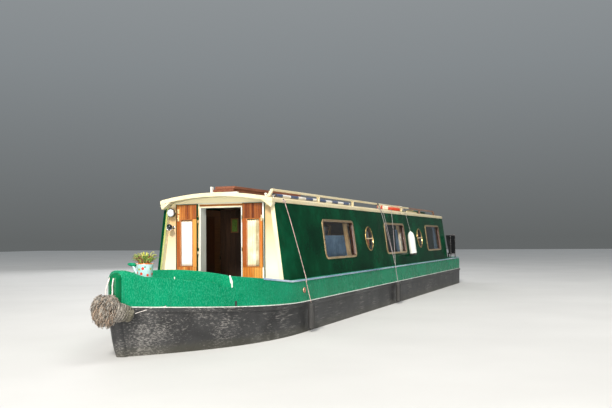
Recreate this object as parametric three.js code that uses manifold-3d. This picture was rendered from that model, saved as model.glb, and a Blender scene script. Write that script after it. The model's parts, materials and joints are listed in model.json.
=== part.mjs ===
// A steel narrowboat, 13.9 m by 2.08 m, afloat draught 560 mm. Sizes are millimetres.
// X runs forward, Y to port, Z up. The origin is under the base plate, on the centreline,
// halfway along the steel hull.
import * as THREE from 'three';
import { mergeVertices } from 'three/addons/utils/BufferGeometryUtils.js';
import Module from 'manifold-3d';

const wasm = await Module();
wasm.setup();

// Driving dimensions
const GAP = 0.3;
const STEM_X = 6950;
const STERN_X = -6950;
const HALF_BEAM = 1041;
const HALF_BASE = 1021;
const BASE_Z = 10;
const GUNWALE_Z = 1230;
const SIDE_WALL = 45;
const SHELF_STEEL = 10;
const CAPPING = 60;

const CABIN_FRONT_X = 4715;
const CABIN_REAR_X = -5465;
const CABIN_FOOT_Y = 930;
const CABIN_LEAN = 0.1295;
const CABIN_WALL = 60;
const EAVE_Z = 2215;
const FASCIA = 55;
const ROOF_CAMBER = 85;
const ROOF_THICK = 50;
const ROOF_LIP = 95;
const BULKHEAD_SET_BACK = 70;
const BULKHEAD_THICK = 60;

const BOW_LENGTH = 2600;
const BOW_FULLNESS = 2.37;
const STEM_STRAIGHT_Z = 1120;
const STEM_RAKE = 445;
const NOSE = 70;
const STEM_HEAD = 165;
const FOREDECK_AFT = 1130;
const WELL_FLOOR_Z = 780;

const SWIM_START_X = -4800;
const STERN_POST_X = -6340;
const POST_HALF = 34;
const COUNTER_Z = 540;
const STERN_ROUND = 650;
const DECK_PLATE = 8;

const CHINE = 12;
const SWIM_STEEL = 20;
const STRAKE_DROP = 280;
const STRAKE_RISE = 170;
const STRAKE_RISE_LENGTH = 2630;
const STRAKE_OUT = 18;
const PROFILE_LEVELS = [300, 600, 850];
const DECK_CAMBER = 38;
const BOARD_THICK = 34;
const BOARD_CROWN = 180;
const BOARD_CAMBER = 58;

const ROOF_HALF = 810;
const HATCH_OPENING_HALF = 330;
const HATCH_OPENING_FRONT = CABIN_REAR_X + 800;
const HATCH_LIFT = 32;
const HANDRAIL_Y = 745;
const HANDRAIL_Z = 2388;
const PLANK_Z = 2380;
const PLANK_THICK = 37;
const RACK_X = [CABIN_FRONT_X - 250, CABIN_FRONT_X - 2250];
const LIFEBUOY = { x: CABIN_FRONT_X - 6700, y: 430 };

const WINDOW_Z = 1742;
const WINDOW_W = 1380;
const WINDOW_H = 535;
const WINDOW_CORNER = 55;
const WINDOW_ARCS = 2;
const PORTHOLE_R = 195;
const PORTHOLE_ARCS = 9;
const FRAME_FLANGE = 25;
const FRAME_SLEEVE = 10;
const FRAME_PROUD = 10;

const DOORWAY_HALF = 300;
const DOOR_REVEAL = 140;
const DOOR_W = 308;
const DOOR_THICK = 35;
const DOOR_STILE = 66;
const DOOR_CLEARANCE = 5;
const DOOR_EDGE = 10;
const DOOR_TOP_REAR = 2338;
const HINGE_Y = 322;
const KNUCKLE = 40;
const LAMP_Y = -702;

const FENDER_R = 45;
const FENDER_H = 340;
const LINE_R = 6;
const SCREEN_Y = HALF_BEAM - 43;
const SCREEN_TOP = 1825;

const ENGINE_HALF = 240;
const ENGINE_TOP = 700;
const SHAFT_Z = 290;
const PROPELLER_X = -6500;
const PROPELLER_PITCH = 300;
const PROPELLER_R = 215;
const RUDDER_X = -6720;
const STOCK_R = 20;

// Colours and finishes
const FINISHES = {
  green: { color: 0x087a42, roughness: 0.3, metalness: 0.1 },
  bitumen: { color: 0x25262a, roughness: 0.8, metalness: 0.1 },
  cream: { color: 0xf3e3b8, roughness: 0.5, metalness: 0.0 },
  varnish: { color: 0xb5621c, roughness: 0.35, metalness: 0.0 },
  brass: { color: 0xc79a4b, roughness: 0.3, metalness: 0.9 },
  glass: { color: 0x9fb4c4, roughness: 0.05, metalness: 0.0 },
  chrome: { color: 0xd8dade, roughness: 0.15, metalness: 1.0 },
  plank: { color: 0x8a3f25, roughness: 0.7, metalness: 0.0 },
  white: { color: 0xf2f2ee, roughness: 0.5, metalness: 0.0 },
  rope: { color: 0x8d7a5c, roughness: 0.95, metalness: 0.0 },
  red: { color: 0xd23a22, roughness: 0.6, metalness: 0.0 },
  floor: { color: 0x9a7a4c, roughness: 0.7, metalness: 0.0 },
  engine: { color: 0x5b6d78, roughness: 0.6, metalness: 0.5 },
  bronze: { color: 0xb98a4a, roughness: 0.35, metalness: 0.9 },
  black: { color: 0x17191b, roughness: 0.5, metalness: 0.3 },
};

const boat = new THREE.Group();

function add(name, geometry, finish) {
  const material = new THREE.MeshStandardMaterial(FINISHES[finish]);
  const mesh = new THREE.Mesh(geometry, material);
  mesh.name = name;
  boat.add(mesh);
  return mesh;
}

// Solids and how they are joined

function positionsOnly(geometry) {
  const bare = geometry.clone();
  bare.deleteAttribute('normal');
  bare.deleteAttribute('uv');
  return mergeVertices(bare, 1e-3);
}

function toManifold(geometry) {
  const merged = positionsOnly(geometry);
  const mesh = new wasm.Mesh({
    numProp: 3,
    vertProperties: new Float32Array(merged.attributes.position.array),
    triVerts: new Uint32Array(merged.index.array),
  });
  return new wasm.Manifold(mesh);
}

function toGeometry(manifold) {
  const mesh = manifold.getMesh();
  const geometry = new THREE.BufferGeometry();
  geometry.setAttribute('position', new THREE.BufferAttribute(new Float32Array(mesh.vertProperties), 3));
  geometry.setIndex(new THREE.BufferAttribute(new Uint32Array(mesh.triVerts), 1));
  return geometry;
}

function union(...geometries) {
  return toGeometry(geometries.map(toManifold).reduce((sum, next) => sum.add(next)));
}

function cut(geometry, ...tools) {
  return toGeometry(tools.map(toManifold).reduce((rest, tool) => rest.subtract(tool), toManifold(geometry)));
}

function box(x0, x1, y0, y1, z0, z1) {
  const geometry = new THREE.BoxGeometry(x1 - x0, y1 - y0, z1 - z0);
  return geometry.translate((x0 + x1) / 2, (y0 + y1) / 2, (z0 + z1) / 2);
}

// A cylinder from one point to another, with an optional second radius.
function rod(from, to, radius, endRadius = radius, sides = 16) {
  const a = new THREE.Vector3(...from);
  const b = new THREE.Vector3(...to);
  const geometry = new THREE.CylinderGeometry(endRadius, radius, a.distanceTo(b), sides);
  const turn = new THREE.Quaternion().setFromUnitVectors(
    new THREE.Vector3(0, 1, 0), b.clone().sub(a).normalize());
  return geometry.applyQuaternion(turn).translate(...a.add(b).multiplyScalar(0.5).toArray());
}

function polygon(points) {
  return new THREE.Shape(points.map(([u, v]) => new THREE.Vector2(u, v)));
}

function roundedRectangle(u0, u1, v0, v1, radius, Kind = THREE.Shape) {
  const outline = new Kind();
  outline.moveTo(u0 + radius, v0);
  outline.lineTo(u1 - radius, v0);
  outline.absarc(u1 - radius, v0 + radius, radius, -Math.PI / 2, 0);
  outline.absarc(u1 - radius, v1 - radius, radius, 0, Math.PI / 2);
  outline.absarc(u0 + radius, v1 - radius, radius, Math.PI / 2, Math.PI);
  outline.absarc(u0 + radius, v0 + radius, radius, Math.PI, Math.PI * 1.5);
  return outline;
}

function circle(u, v, radius, Kind = THREE.Shape) {
  const outline = new Kind();
  outline.absarc(u, v, radius, 0, Math.PI * 2);
  return outline;
}

function extrude(shape, depth, curveSegments = 2) {
  return new THREE.ExtrudeGeometry(shape, { depth, bevelEnabled: false, curveSegments });
}

// A plan outline (x, y) standing from z0 to z1.
function standing(shape, z0, z1, curveSegments) {
  return extrude(shape, z1 - z0, curveSegments).translate(0, 0, z0);
}

// A section (y, z) carried along X from x0 to x1.
function alongX(shape, x0, x1, curveSegments) {
  const basis = new THREE.Matrix4().makeBasis(
    new THREE.Vector3(0, 1, 0), new THREE.Vector3(0, 0, 1), new THREE.Vector3(1, 0, 0));
  return extrude(shape, x1 - x0, curveSegments).applyMatrix4(basis).translate(x0, 0, 0);
}

// A side view (x, z) carried across from y0 to y1.
function across(shape, y0, y1, curveSegments) {
  const basis = new THREE.Matrix4().makeBasis(
    new THREE.Vector3(1, 0, 0), new THREE.Vector3(0, 0, 1), new THREE.Vector3(0, -1, 0));
  return extrude(shape, y1 - y0, curveSegments).applyMatrix4(basis).translate(0, y1, 0);
}

function flipped(geometry) {
  const bare = positionsOnly(geometry);
  const order = Array.from(bare.index.array);
  for (let i = 0; i < order.length; i += 3) {
    [order[i], order[i + 1]] = [order[i + 1], order[i]];
  }
  bare.setIndex(order);
  return bare;
}

function mirrored(geometry) {
  return flipped(geometry.clone().scale(1, -1, 1));
}

// A closed plate between two grids of points, outer[i][j] and inner[i][j].
function plate(outer, inner) {
  const rows = outer.length;
  const columns = outer[0].length;
  const points = [...outer.flat(), ...inner.flat()];
  const half = rows * columns;
  const at = (layer, i, j) => layer * half + i * columns + j;
  const faces = [];
  const quad = (a, b, c, d) => faces.push(a, b, c, a, c, d);
  for (let i = 0; i + 1 < rows; i += 1) {
    for (let j = 0; j + 1 < columns; j += 1) {
      quad(at(0, i, j), at(0, i + 1, j), at(0, i + 1, j + 1), at(0, i, j + 1));
      quad(at(1, i, j), at(1, i, j + 1), at(1, i + 1, j + 1), at(1, i + 1, j));
    }
    quad(at(1, i, 0), at(1, i + 1, 0), at(0, i + 1, 0), at(0, i, 0));
    const last = columns - 1;
    quad(at(0, i, last), at(0, i + 1, last), at(1, i + 1, last), at(1, i, last));
  }
  for (let j = 0; j + 1 < columns; j += 1) {
    quad(at(1, 0, j), at(0, 0, j), at(0, 0, j + 1), at(1, 0, j + 1));
    const last = rows - 1;
    quad(at(0, last, j), at(1, last, j), at(1, last, j + 1), at(0, last, j + 1));
  }
  const geometry = new THREE.BufferGeometry();
  geometry.setAttribute('position', new THREE.Float32BufferAttribute(points.flat(), 3));
  geometry.setIndex(faces);
  return geometry;
}

// Hull lines

function lerp(a, b, t) {
  return a + (b - a) * t;
}

function stemX(z) {
  const below = Math.max(0, (STEM_STRAIGHT_Z - z) / (STEM_STRAIGHT_Z - BASE_Z));
  return STEM_X - STEM_RAKE * below ** 1.9;
}

function fullBreadth(z) {
  return lerp(HALF_BASE, HALF_BEAM, Math.min(1, Math.max(0, (z - BASE_Z) / 900)));
}

// A point on the side, by its distance aft of the stem at deck level. The bow's half breadth
// is the full breadth, less a power of the distance still to run to the parallel part.
function sidePoint(aft, z) {
  if (aft > BOW_LENGTH) {
    return { x: STEM_X - aft, y: fullBreadth(z) };
  }
  const run = stemX(z) - (STEM_X - BOW_LENGTH);
  const part = aft / BOW_LENGTH;
  return { x: stemX(z) - part * run, y: fullBreadth(z) * (1 - (1 - part) ** BOW_FULLNESS) };
}

function breadthAt(x, z) {
  const run = stemX(z) - (STEM_X - BOW_LENGTH);
  const part = Math.min(1, (stemX(z) - x) / run);
  return fullBreadth(z) * (1 - (1 - part) ** BOW_FULLNESS);
}

function strakeZ(x) {
  const part = Math.max(0, (x - (STEM_X - STRAKE_RISE_LENGTH)) / STRAKE_RISE_LENGTH);
  return GUNWALE_Z - STRAKE_DROP + STRAKE_RISE * part ** 1.6;
}

// The side's outer profile at one station: heights, and how far each point stands out.
function profile(topZ, strake, footZ) {
  const plain = PROFILE_LEVELS.filter((z) => z > footZ + 1).map((z) => ({ z, out: 0 }));
  return [
    { z: footZ, out: 0 },
    ...plain,
    { z: strake - 26, out: 0 },
    { z: strake - 18, out: STRAKE_OUT },
    { z: strake + 4, out: STRAKE_OUT },
    { z: strake + 12, out: 0 },
    { z: topZ, out: 0 },
  ];
}

// Bow and side stations: distance aft of the stem, height of the side's top edge over the
// gunwale line, and where the shelf on top of it ends: closed to the centreline, a narrow
// capping, or in under the cabin side.
const UNDER_CABIN_Y = CABIN_FOOT_Y - CABIN_WALL - 5;
const CLOSED = () => GAP;
const CAPPED = (y) => y - CAPPING;
const UNDER_CABIN = () => UNDER_CABIN_Y;
const STATIONS = [
  { aft: NOSE + 2, top: 190, shelf: CLOSED },
  { aft: 140, top: 212, shelf: CLOSED },
  { aft: 200, top: 192, shelf: CLOSED },
  { aft: 280, top: 146, shelf: CLOSED },
  { aft: 284, top: 144, shelf: CAPPED },
  { aft: 420, top: 126, shelf: CAPPED },
  { aft: 680, top: 87, shelf: CAPPED },
  { aft: 955, top: 45, shelf: CAPPED },
  { aft: 963, top: 2, shelf: CAPPED },
  { aft: FOREDECK_AFT - 5, top: -15, shelf: CAPPED },
  { aft: FOREDECK_AFT + 3, top: 116, shelf: CAPPED },
  { aft: 1500, top: 78, shelf: CAPPED },
  { aft: 1900, top: 36, shelf: CAPPED },
  { aft: STEM_X - CABIN_FRONT_X - 2, top: 0, shelf: CAPPED },
  { aft: STEM_X - CABIN_FRONT_X + 20, top: 0, shelf: UNDER_CABIN },
  { aft: BOW_LENGTH, top: 0, shelf: UNDER_CABIN },
  { aft: STEM_X - SWIM_START_X, top: 0, shelf: UNDER_CABIN },
];

function hullSide() {
  const outer = [];
  const inner = [];
  for (const { aft, top, shelf } of STATIONS) {
    const topZ = GUNWALE_Z + top;
    const outerRow = [];
    const innerRow = [];
    for (const { z, out } of profile(topZ, strakeZ(STEM_X - aft), BASE_Z + GAP)) {
      const { x, y } = sidePoint(aft, z);
      outerRow.push([x, y + out, z]);
      innerRow.push([x, Math.max(y - SIDE_WALL, y / 3), Math.min(z, topZ - SHELF_STEEL)]);
    }
    const { x, y } = sidePoint(aft, topZ);
    const edge = shelf(y);
    outerRow.push([x, edge, topZ]);
    innerRow.push([x, edge, topZ - SHELF_STEEL]);
    outer.push(outerRow);
    inner.push(innerRow);
  }
  return plate(outer, inner);
}

// The nose: a round bar between the two sides, from the base plate to the rounded stem head.
function stemPost() {
  const steps = 8;
  const headZ = GUNWALE_Z + STEM_HEAD - 45;
  const levels = [...profile(headZ, strakeZ(STEM_X - NOSE), BASE_Z + GAP), { z: headZ + 45, out: 0 }];
  const rings = levels.map(({ z, out }) => {
    const { x, y } = sidePoint(NOSE, z);
    const depth = stemX(z) - Math.max(0, z - headZ) * 0.35 - x;
    return Array.from({ length: steps + 1 }, (_, i) => {
      const angle = (Math.PI * i) / steps - Math.PI / 2;
      return [x + (depth + out) * Math.cos(angle), (y + out) * Math.sin(angle), z];
    });
  });
  const back = rings.map((ring) => ring.map(([, y], i) => [ring[0][0], y * 0.9, ring[i][2]]));
  return plate(rings[0].map((_, i) => rings.map((ring) => ring[i])),
    rings[0].map((_, i) => back.map((ring) => ring[i])));
}

// Plan of the counter, port to starboard round the stern, as a rounded rectangle.
function counterPlan() {
  const steps = 14;
  const round = Array.from({ length: steps + 1 }, (_, i) => {
    const angle = (Math.PI * i) / steps;
    const c = Math.cos(angle);
    const s = Math.sin(angle);
    return {
      x: STERN_X + STERN_ROUND * (1 - s ** 0.75),
      y: HALF_BEAM * Math.sign(c) * Math.abs(c) ** 0.62,
    };
  });
  const run = [SWIM_START_X - GAP, CABIN_REAR_X, CABIN_REAR_X - 12, -5900];
  const port = run.map((x) => ({ x, y: HALF_BEAM }));
  const starboard = [...run].reverse().map((x) => ({ x, y: -HALF_BEAM }));
  return [...port, ...round, ...starboard];
}

// The same plan moved inwards along its normals.
function inset(plan, distance) {
  return plan.map((point, i) => {
    const before = plan[Math.max(0, i - 1)];
    const after = plan[Math.min(plan.length - 1, i + 1)];
    const dx = after.x - before.x;
    const dy = after.y - before.y;
    const length = Math.hypot(dx, dy);
    return { x: point.x - (dy / length) * distance, y: point.y + (dx / length) * distance };
  });
}

function counterBand() {
  const plan = counterPlan();
  const levels = profile(GUNWALE_Z, strakeZ(0), COUNTER_Z);
  const outer = plan.map(() => []);
  const inner = plan.map(() => []);
  for (const { z, out } of levels) {
    const lean = fullBreadth(z) / HALF_BEAM;
    const outPlan = inset(plan, -out);
    const inPlan = inset(plan, SIDE_WALL);
    plan.forEach((_, i) => {
      outer[i].push([outPlan[i].x, outPlan[i].y * lean, z]);
      inner[i].push([inPlan[i].x, inPlan[i].y * lean, Math.min(z, GUNWALE_Z - SHELF_STEEL)]);
    });
  }
  const cabinEdge = inset(plan, HALF_BEAM - UNDER_CABIN_Y);
  const cappingEdge = inset(plan, CAPPING);
  plan.forEach(({ x }, i) => {
    const edge = x > CABIN_REAR_X - 5 ? cabinEdge[i] : cappingEdge[i];
    outer[i].push([edge.x, edge.y, GUNWALE_Z]);
    inner[i].push([edge.x, edge.y, GUNWALE_Z - SHELF_STEEL]);
  });
  return plate(outer, inner);
}

// Plan of the swim's outer face: it narrows to the stern post as a squared cosine.
function swimPlan(standOff = 0) {
  const steps = 10;
  return Array.from({ length: steps + 1 }, (_, i) => {
    const part = i / steps;
    const narrowing = Math.cos((Math.PI * part) / 2) ** 2;
    return {
      x: lerp(SWIM_START_X - GAP, STERN_POST_X + GAP, part),
      y: POST_HALF + (HALF_BASE - POST_HALF) * narrowing + standOff,
    };
  });
}

function swim() {
  const outer = swimPlan();
  const inner = swimPlan(-SWIM_STEEL).reverse();
  const outline = polygon([...outer, ...inner].map(({ x, y }) => [x, y]));
  return standing(outline, BASE_Z + GAP, COUNTER_Z - GAP);
}

function basePlate() {
  const bow = STATIONS.filter(({ aft }) => aft <= BOW_LENGTH).map(({ aft }) => {
    const { x, y } = sidePoint(aft, BASE_Z);
    return [x + CHINE, y + CHINE];
  });
  const stern = swimPlan(CHINE).map(({ x, y }) => [x, y]);
  const port = [...bow, ...stern];
  const starboard = [...port].reverse().map(([x, y]) => [x, -y]);
  return standing(polygon([...port, ...starboard]), 0, BASE_Z);
}

function addPair(name, geometry, finish) {
  add(`${name}_port`, geometry, finish);
  add(`${name}_starboard`, mirrored(geometry), finish);
}

add('base_plate', basePlate(), 'bitumen');
addPair('hull_side', hullSide(), 'green');
add('stem_post', stemPost(), 'green');
add('counter_band', counterBand(), 'green');
addPair('swim', swim(), 'bitumen');

const insideCounter = inset(counterPlan(), SIDE_WALL + 8).map(({ x, y }) => [x, y]);
const stockHole = rod([RUDDER_X, 0, 0], [RUDDER_X, 0, 3000], STOCK_R + 1);
const betweenSwims = swimPlan(-SWIM_STEEL).map(({ x, y }) => [x + (x > SWIM_START_X - 1 ? 20 : 0), y]);
const engineBay = standing(
  polygon([...betweenSwims, ...[...betweenSwims].reverse().map(([x, y]) => [x, -y])]), 500, 600);
add('counter_plate', cut(
  standing(polygon(insideCounter), COUNTER_Z + GAP, COUNTER_Z + DECK_PLATE), stockHole, engineBay,
), 'bitumen');

// Skeg, stern post, stern tube and the cup that the rudder stands in
add('skeg', union(
  box(STERN_POST_X - 60, STERN_POST_X, -POST_HALF, POST_HALF, BASE_Z + GAP, COUNTER_Z - GAP),
  box(RUDDER_X - 60, STERN_POST_X, -POST_HALF, POST_HALF, BASE_Z + GAP, 50),
  rod([STERN_POST_X - 50, 0, SHAFT_Z], [STERN_POST_X - 110, 0, SHAFT_Z], 44, 36),
  rod([RUDDER_X, 0, 40], [RUDDER_X, 0, 70], 36),
), 'bitumen');

// Well deck, foredeck and the cambered board between them

const BOARD_X = STEM_X - FOREDECK_AFT;

function deckEdgeZ(aft) {
  return GUNWALE_Z - 15 + (100 * (FOREDECK_AFT - aft)) / 850;
}

function foredeckPlate() {
  const rows = STATIONS.filter(({ aft }) => aft >= 284 && aft < FOREDECK_AFT);
  const spans = [1, 0.8, 0.55, 0.28, 0, -0.28, -0.55, -0.8, -1];
  const upper = rows.map(({ aft }) => {
    const { x, y } = sidePoint(aft, GUNWALE_Z);
    const half = y - CAPPING - 0.5;
    return spans.map((v) => [x, half * v, deckEdgeZ(aft) + DECK_CAMBER * (1 - v * v)]);
  });
  const lower = upper.map((row) => row.map(([x, y, z]) => [x, y, z - DECK_PLATE]));
  return plate(upper, lower);
}

const STUD_X = STEM_X - 300;
const studFoot = deckEdgeZ(300) + DECK_CAMBER - 4;
add('foredeck', union(
  foredeckPlate(),
  rod([STUD_X, 0, studFoot], [STUD_X, 0, studFoot + 115], 19),
  rod([STUD_X, -65, studFoot + 95], [STUD_X, 65, studFoot + 95], 13),
), 'green');

function boardSection() {
  const inside = (z) => breadthAt(BOARD_X, z) - SIDE_WALL - 8;
  const lip = breadthAt(BOARD_X, GUNWALE_Z) - CAPPING - 2;
  const levels = [BASE_Z + GAP, ...PROFILE_LEVELS, STEM_STRAIGHT_Z, GUNWALE_Z + 100];
  const curve = [1, 0.75, 0.5, 0.25, 0].map((v) => [
    lip * v, GUNWALE_Z + BOARD_CROWN - BOARD_CAMBER * v * v]);
  const port = [...levels.map((z) => [inside(z), z]), [lip, GUNWALE_Z + 100], ...curve];
  const starboard = port.slice(0, -1).reverse().map(([y, z]) => [-y, z]);
  return polygon([...port, ...starboard]);
}
add('foredeck_board', alongX(boardSection(), BOARD_X - BOARD_THICK, BOARD_X - 4), 'green');

const BULKHEAD_X = CABIN_FRONT_X - BULKHEAD_SET_BACK;

function wellFloor() {
  const xs = [BOARD_X - BOARD_THICK - GAP, 5500, 5200, 4900, BULKHEAD_X + GAP];
  const port = xs.map((x) => [x, breadthAt(x, WELL_FLOOR_Z) - SIDE_WALL - 9]);
  const starboard = [...port].reverse().map(([x, y]) => [x, -y]);
  return standing(polygon([...port, ...starboard]), WELL_FLOOR_Z - 10, WELL_FLOOR_Z);
}
add('well_deck_floor', wellFloor(), 'green');

// Cabin

function cabinY(z) {
  return CABIN_FOOT_Y - (z - GUNWALE_Z) * CABIN_LEAN;
}

function roofZ(y) {
  return EAVE_Z + FASCIA + ROOF_CAMBER * (1 - (y / ROOF_HALF) ** 2);
}

// Lays a flat shape (x, height) against the leaning port side; depth runs outwards.
function onCabinSide(shape, from, to, curveSegments) {
  const leaning = new THREE.Matrix4().set(
    1, 0, 0, 0,
    0, -CABIN_LEAN, 1, CABIN_FOOT_Y + GUNWALE_Z * CABIN_LEAN,
    0, 1, 0, 0,
    0, 0, 0, 1);
  return flipped(extrude(shape, to - from, curveSegments).translate(0, 0, from).applyMatrix4(leaning));
}

const WINDOWS = [
  { name: 'window_1', x: CABIN_FRONT_X - 2285 },
  { name: 'window_2', x: CABIN_FRONT_X - 5520 },
  { name: 'window_3', x: CABIN_FRONT_X - 8850 },
];
const PORTHOLES = [
  { name: 'porthole_1', x: CABIN_FRONT_X - 3790 },
  { name: 'porthole_2', x: CABIN_FRONT_X - 7480 },
];

function windowOutline({ x }, margin, Kind) {
  const w = WINDOW_W / 2 + margin;
  const h = WINDOW_H / 2 + margin;
  return roundedRectangle(x - w, x + w, WINDOW_Z - h, WINDOW_Z + h, WINDOW_CORNER + margin, Kind);
}

function portholeOutline({ x }, margin, Kind) {
  return circle(x, WINDOW_Z, PORTHOLE_R + margin, Kind);
}

function cabinSide() {
  const wall = polygon([
    [CABIN_REAR_X, GUNWALE_Z + GAP], [CABIN_FRONT_X, GUNWALE_Z + GAP],
    [CABIN_FRONT_X, EAVE_Z - GAP], [CABIN_REAR_X, EAVE_Z - GAP]]);
  wall.holes = [
    ...WINDOWS.map((window) => new THREE.Path(windowOutline(window, 0, THREE.Path).getPoints(WINDOW_ARCS))),
    ...PORTHOLES.map((port) => new THREE.Path(portholeOutline(port, 0, THREE.Path).getPoints(PORTHOLE_ARCS))),
  ];
  return onCabinSide(wall, -CABIN_WALL, 0);
}
addPair('cabin_side', cabinSide(), 'green');

// Frames: a flange on the outside of the wall and a sleeve through it, glazed inside the sleeve
function framed(outlineOf, opening, arcs) {
  const flange = outlineOf(opening, FRAME_FLANGE);
  flange.holes = [outlineOf(opening, -FRAME_SLEEVE, THREE.Path)];
  const sleeve = outlineOf(opening, -GAP);
  sleeve.holes = [outlineOf(opening, -FRAME_SLEEVE, THREE.Path)];
  const frame = union(
    onCabinSide(flange, GAP, FRAME_PROUD, arcs), onCabinSide(sleeve, -CABIN_WALL, FRAME_PROUD, arcs));
  const pane = onCabinSide(outlineOf(opening, -FRAME_SLEEVE - GAP), -30, -24, arcs);
  return { frame, pane };
}
for (const opening of WINDOWS) {
  const { frame, pane } = framed(windowOutline, opening, WINDOW_ARCS);
  addPair(`${opening.name}_frame`, frame, 'brass');
  addPair(`${opening.name}_pane`, pane, 'glass');
}
// A porthole is one glazed casting: the rim and a split bar across the middle carry the glass
for (const opening of PORTHOLES) {
  const disc = portholeOutline(opening, -FRAME_SLEEVE + 1);
  const { frame } = framed(portholeOutline, opening, PORTHOLE_ARCS);
  addPair(opening.name, union(frame, onCabinSide(disc, -30, -22, PORTHOLE_ARCS)), 'brass');
}

// Roof, its rear opening and the runners of the sliding hatch

function arcPoints(half, lift, steps = 12) {
  return Array.from({ length: steps + 1 }, (_, i) => {
    const y = lerp(half, -half, i / steps);
    return [y, roofZ(y) + lift];
  });
}

function bandSection(half, lowLift, highLift) {
  return polygon([...arcPoints(half, highLift), ...arcPoints(half, lowLift).reverse()]);
}

function roofSection() {
  const seat = ROOF_HALF - CABIN_WALL - 8;
  return polygon([
    [ROOF_HALF, EAVE_Z], ...arcPoints(ROOF_HALF, 0), [-ROOF_HALF, EAVE_Z], [-seat, EAVE_Z],
    ...arcPoints(seat, -ROOF_THICK).reverse(), [seat, EAVE_Z]]);
}

function runner(sideSign) {
  const near = HATCH_OPENING_HALF + 5;
  const far = near + 15;
  const points = [[near, roofZ(near) - 6], [far, roofZ(far) - 6], [far, roofZ(far) + HATCH_LIFT - 0.4],
    [near, roofZ(near) + HATCH_LIFT - 0.4]].map(([y, z]) => [y * sideSign, z]);
  return alongX(polygon(points), CABIN_REAR_X + 5, CABIN_REAR_X + 1760);
}

add('roof', cut(
  union(alongX(roofSection(), CABIN_REAR_X, CABIN_FRONT_X + ROOF_LIP), runner(1), runner(-1)),
  box(CABIN_REAR_X - 50, HATCH_OPENING_FRONT, -HATCH_OPENING_HALF, HATCH_OPENING_HALF, 2000, 2600),
), 'cream');

function hatch() {
  const half = HATCH_OPENING_HALF + 42;
  const flange = (sideSign) => alongX(polygon([
    [half - 12, roofZ(half - 12) + HATCH_LIFT + 4], [half - 12, roofZ(half) + 8],
    [half, roofZ(half) + 8], [half, roofZ(half) + HATCH_LIFT + 4]].map(([y, z]) => [y * sideSign, z])),
  CABIN_REAR_X - 35, HATCH_OPENING_FRONT + 5);
  return union(
    alongX(bandSection(half, HATCH_LIFT, HATCH_LIFT + 20), CABIN_REAR_X - 35, HATCH_OPENING_FRONT + 5),
    flange(1), flange(-1),
    alongX(polygon([
      [HATCH_OPENING_HALF, DOOR_TOP_REAR + 6], ...arcPoints(HATCH_OPENING_HALF, HATCH_LIFT + 3),
      [-HATCH_OPENING_HALF, DOOR_TOP_REAR + 6]]), CABIN_REAR_X - 35, CABIN_REAR_X - 25),
  );
}
add('rear_hatch', hatch(), 'green');

// Bulkheads, each with a doorway between the cabin sides and the hull sides under the shelf

function bulkheadSection(x, footZ) {
  const insideHull = (z) => breadthAt(x, z) - SIDE_WALL - 4;
  const insideCabin = (z) => cabinY(z) - CABIN_WALL - GAP;
  const seat = ROOF_HALF - CABIN_WALL - 8.5;
  const port = [
    [insideHull(footZ), footZ], [insideHull(910), 910], [insideHull(1200), GUNWALE_Z - SHELF_STEEL - GAP],
    [UNDER_CABIN_Y - 0.5, GUNWALE_Z - SHELF_STEEL - GAP],
    [UNDER_CABIN_Y - 0.5, GUNWALE_Z + GAP], [insideCabin(GUNWALE_Z + 1), GUNWALE_Z + 1],
    [insideCabin(EAVE_Z), EAVE_Z - GAP], [seat, EAVE_Z - GAP],
  ];
  const starboard = [...port].reverse().map(([y, z]) => [-y, z]);
  return polygon([...port, ...arcPoints(seat, -ROOF_THICK - GAP), ...starboard]);
}

// Lift-off hinges: a fixed knuckle below carries a turning one, on one upright axis.
function knuckle(x, y, z, towardX, towardY) {
  return union(
    rod([x, y, z], [x, y, z + KNUCKLE], 7, 7, 8),
    box(Math.min(x, towardX), Math.max(x, towardX) + 0.01, Math.min(y - 3, towardY), Math.max(y + 3, towardY), z,
      z + KNUCKLE),
  );
}

// Doors: both ends of the cabin have a pair. facing is +1 forward, -1 aft.
function doorSet({ bulkheadFace, facing, lowZ, highZ, open, paneLow, paneHigh }) {
  const axisX = bulkheadFace + facing * (DOOR_CLEARANCE + DOOR_THICK / 2);
  const hingeZ = [lowZ + 170, (lowZ + highZ) / 2, highZ - 210];
  const nearX = bulkheadFace + facing * (DOOR_CLEARANCE + GAP);
  const farX = bulkheadFace + facing * (DOOR_CLEARANCE + DOOR_THICK);
  const near = HINGE_Y + (open ? DOOR_EDGE : -DOOR_EDGE - DOOR_W);
  const leafBox = box(Math.min(nearX, farX), Math.max(nearX, farX), near, near + DOOR_W, lowZ, highZ);
  const paneBox = box(Math.min(nearX, farX) - 9, Math.max(nearX, farX) + 9, near + DOOR_STILE,
    near + DOOR_W - DOOR_STILE, paneLow, paneHigh);
  const edge = open ? HINGE_Y + DOOR_EDGE + 4 : HINGE_Y - DOOR_EDGE - 4;
  const leaf = union(cut(leafBox, paneBox), ...hingeZ.map((z) => knuckle(axisX, HINGE_Y, z, axisX, edge)));
  const fixed = hingeZ.map((z) => knuckle(axisX, HINGE_Y, z - KNUCKLE - 0.4,
    bulkheadFace - facing * 4, HINGE_Y));
  return { leaf, fixed };
}

const FRONT_DOORS = {
  bulkheadFace: BULKHEAD_X, facing: 1, lowZ: 985, highZ: 2218, open: true, paneLow: 1405, paneHigh: 2012,
};
const REAR_DOORS = {
  bulkheadFace: CABIN_REAR_X, facing: -1, lowZ: 1255, highZ: DOOR_TOP_REAR, open: false,
  paneLow: 1800, paneHigh: 2160,
};
const front = doorSet(FRONT_DOORS);
const rear = doorSet(REAR_DOORS);
addPair('front_door', front.leaf, 'varnish');
addPair('rear_door', rear.leaf, 'varnish');

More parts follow.
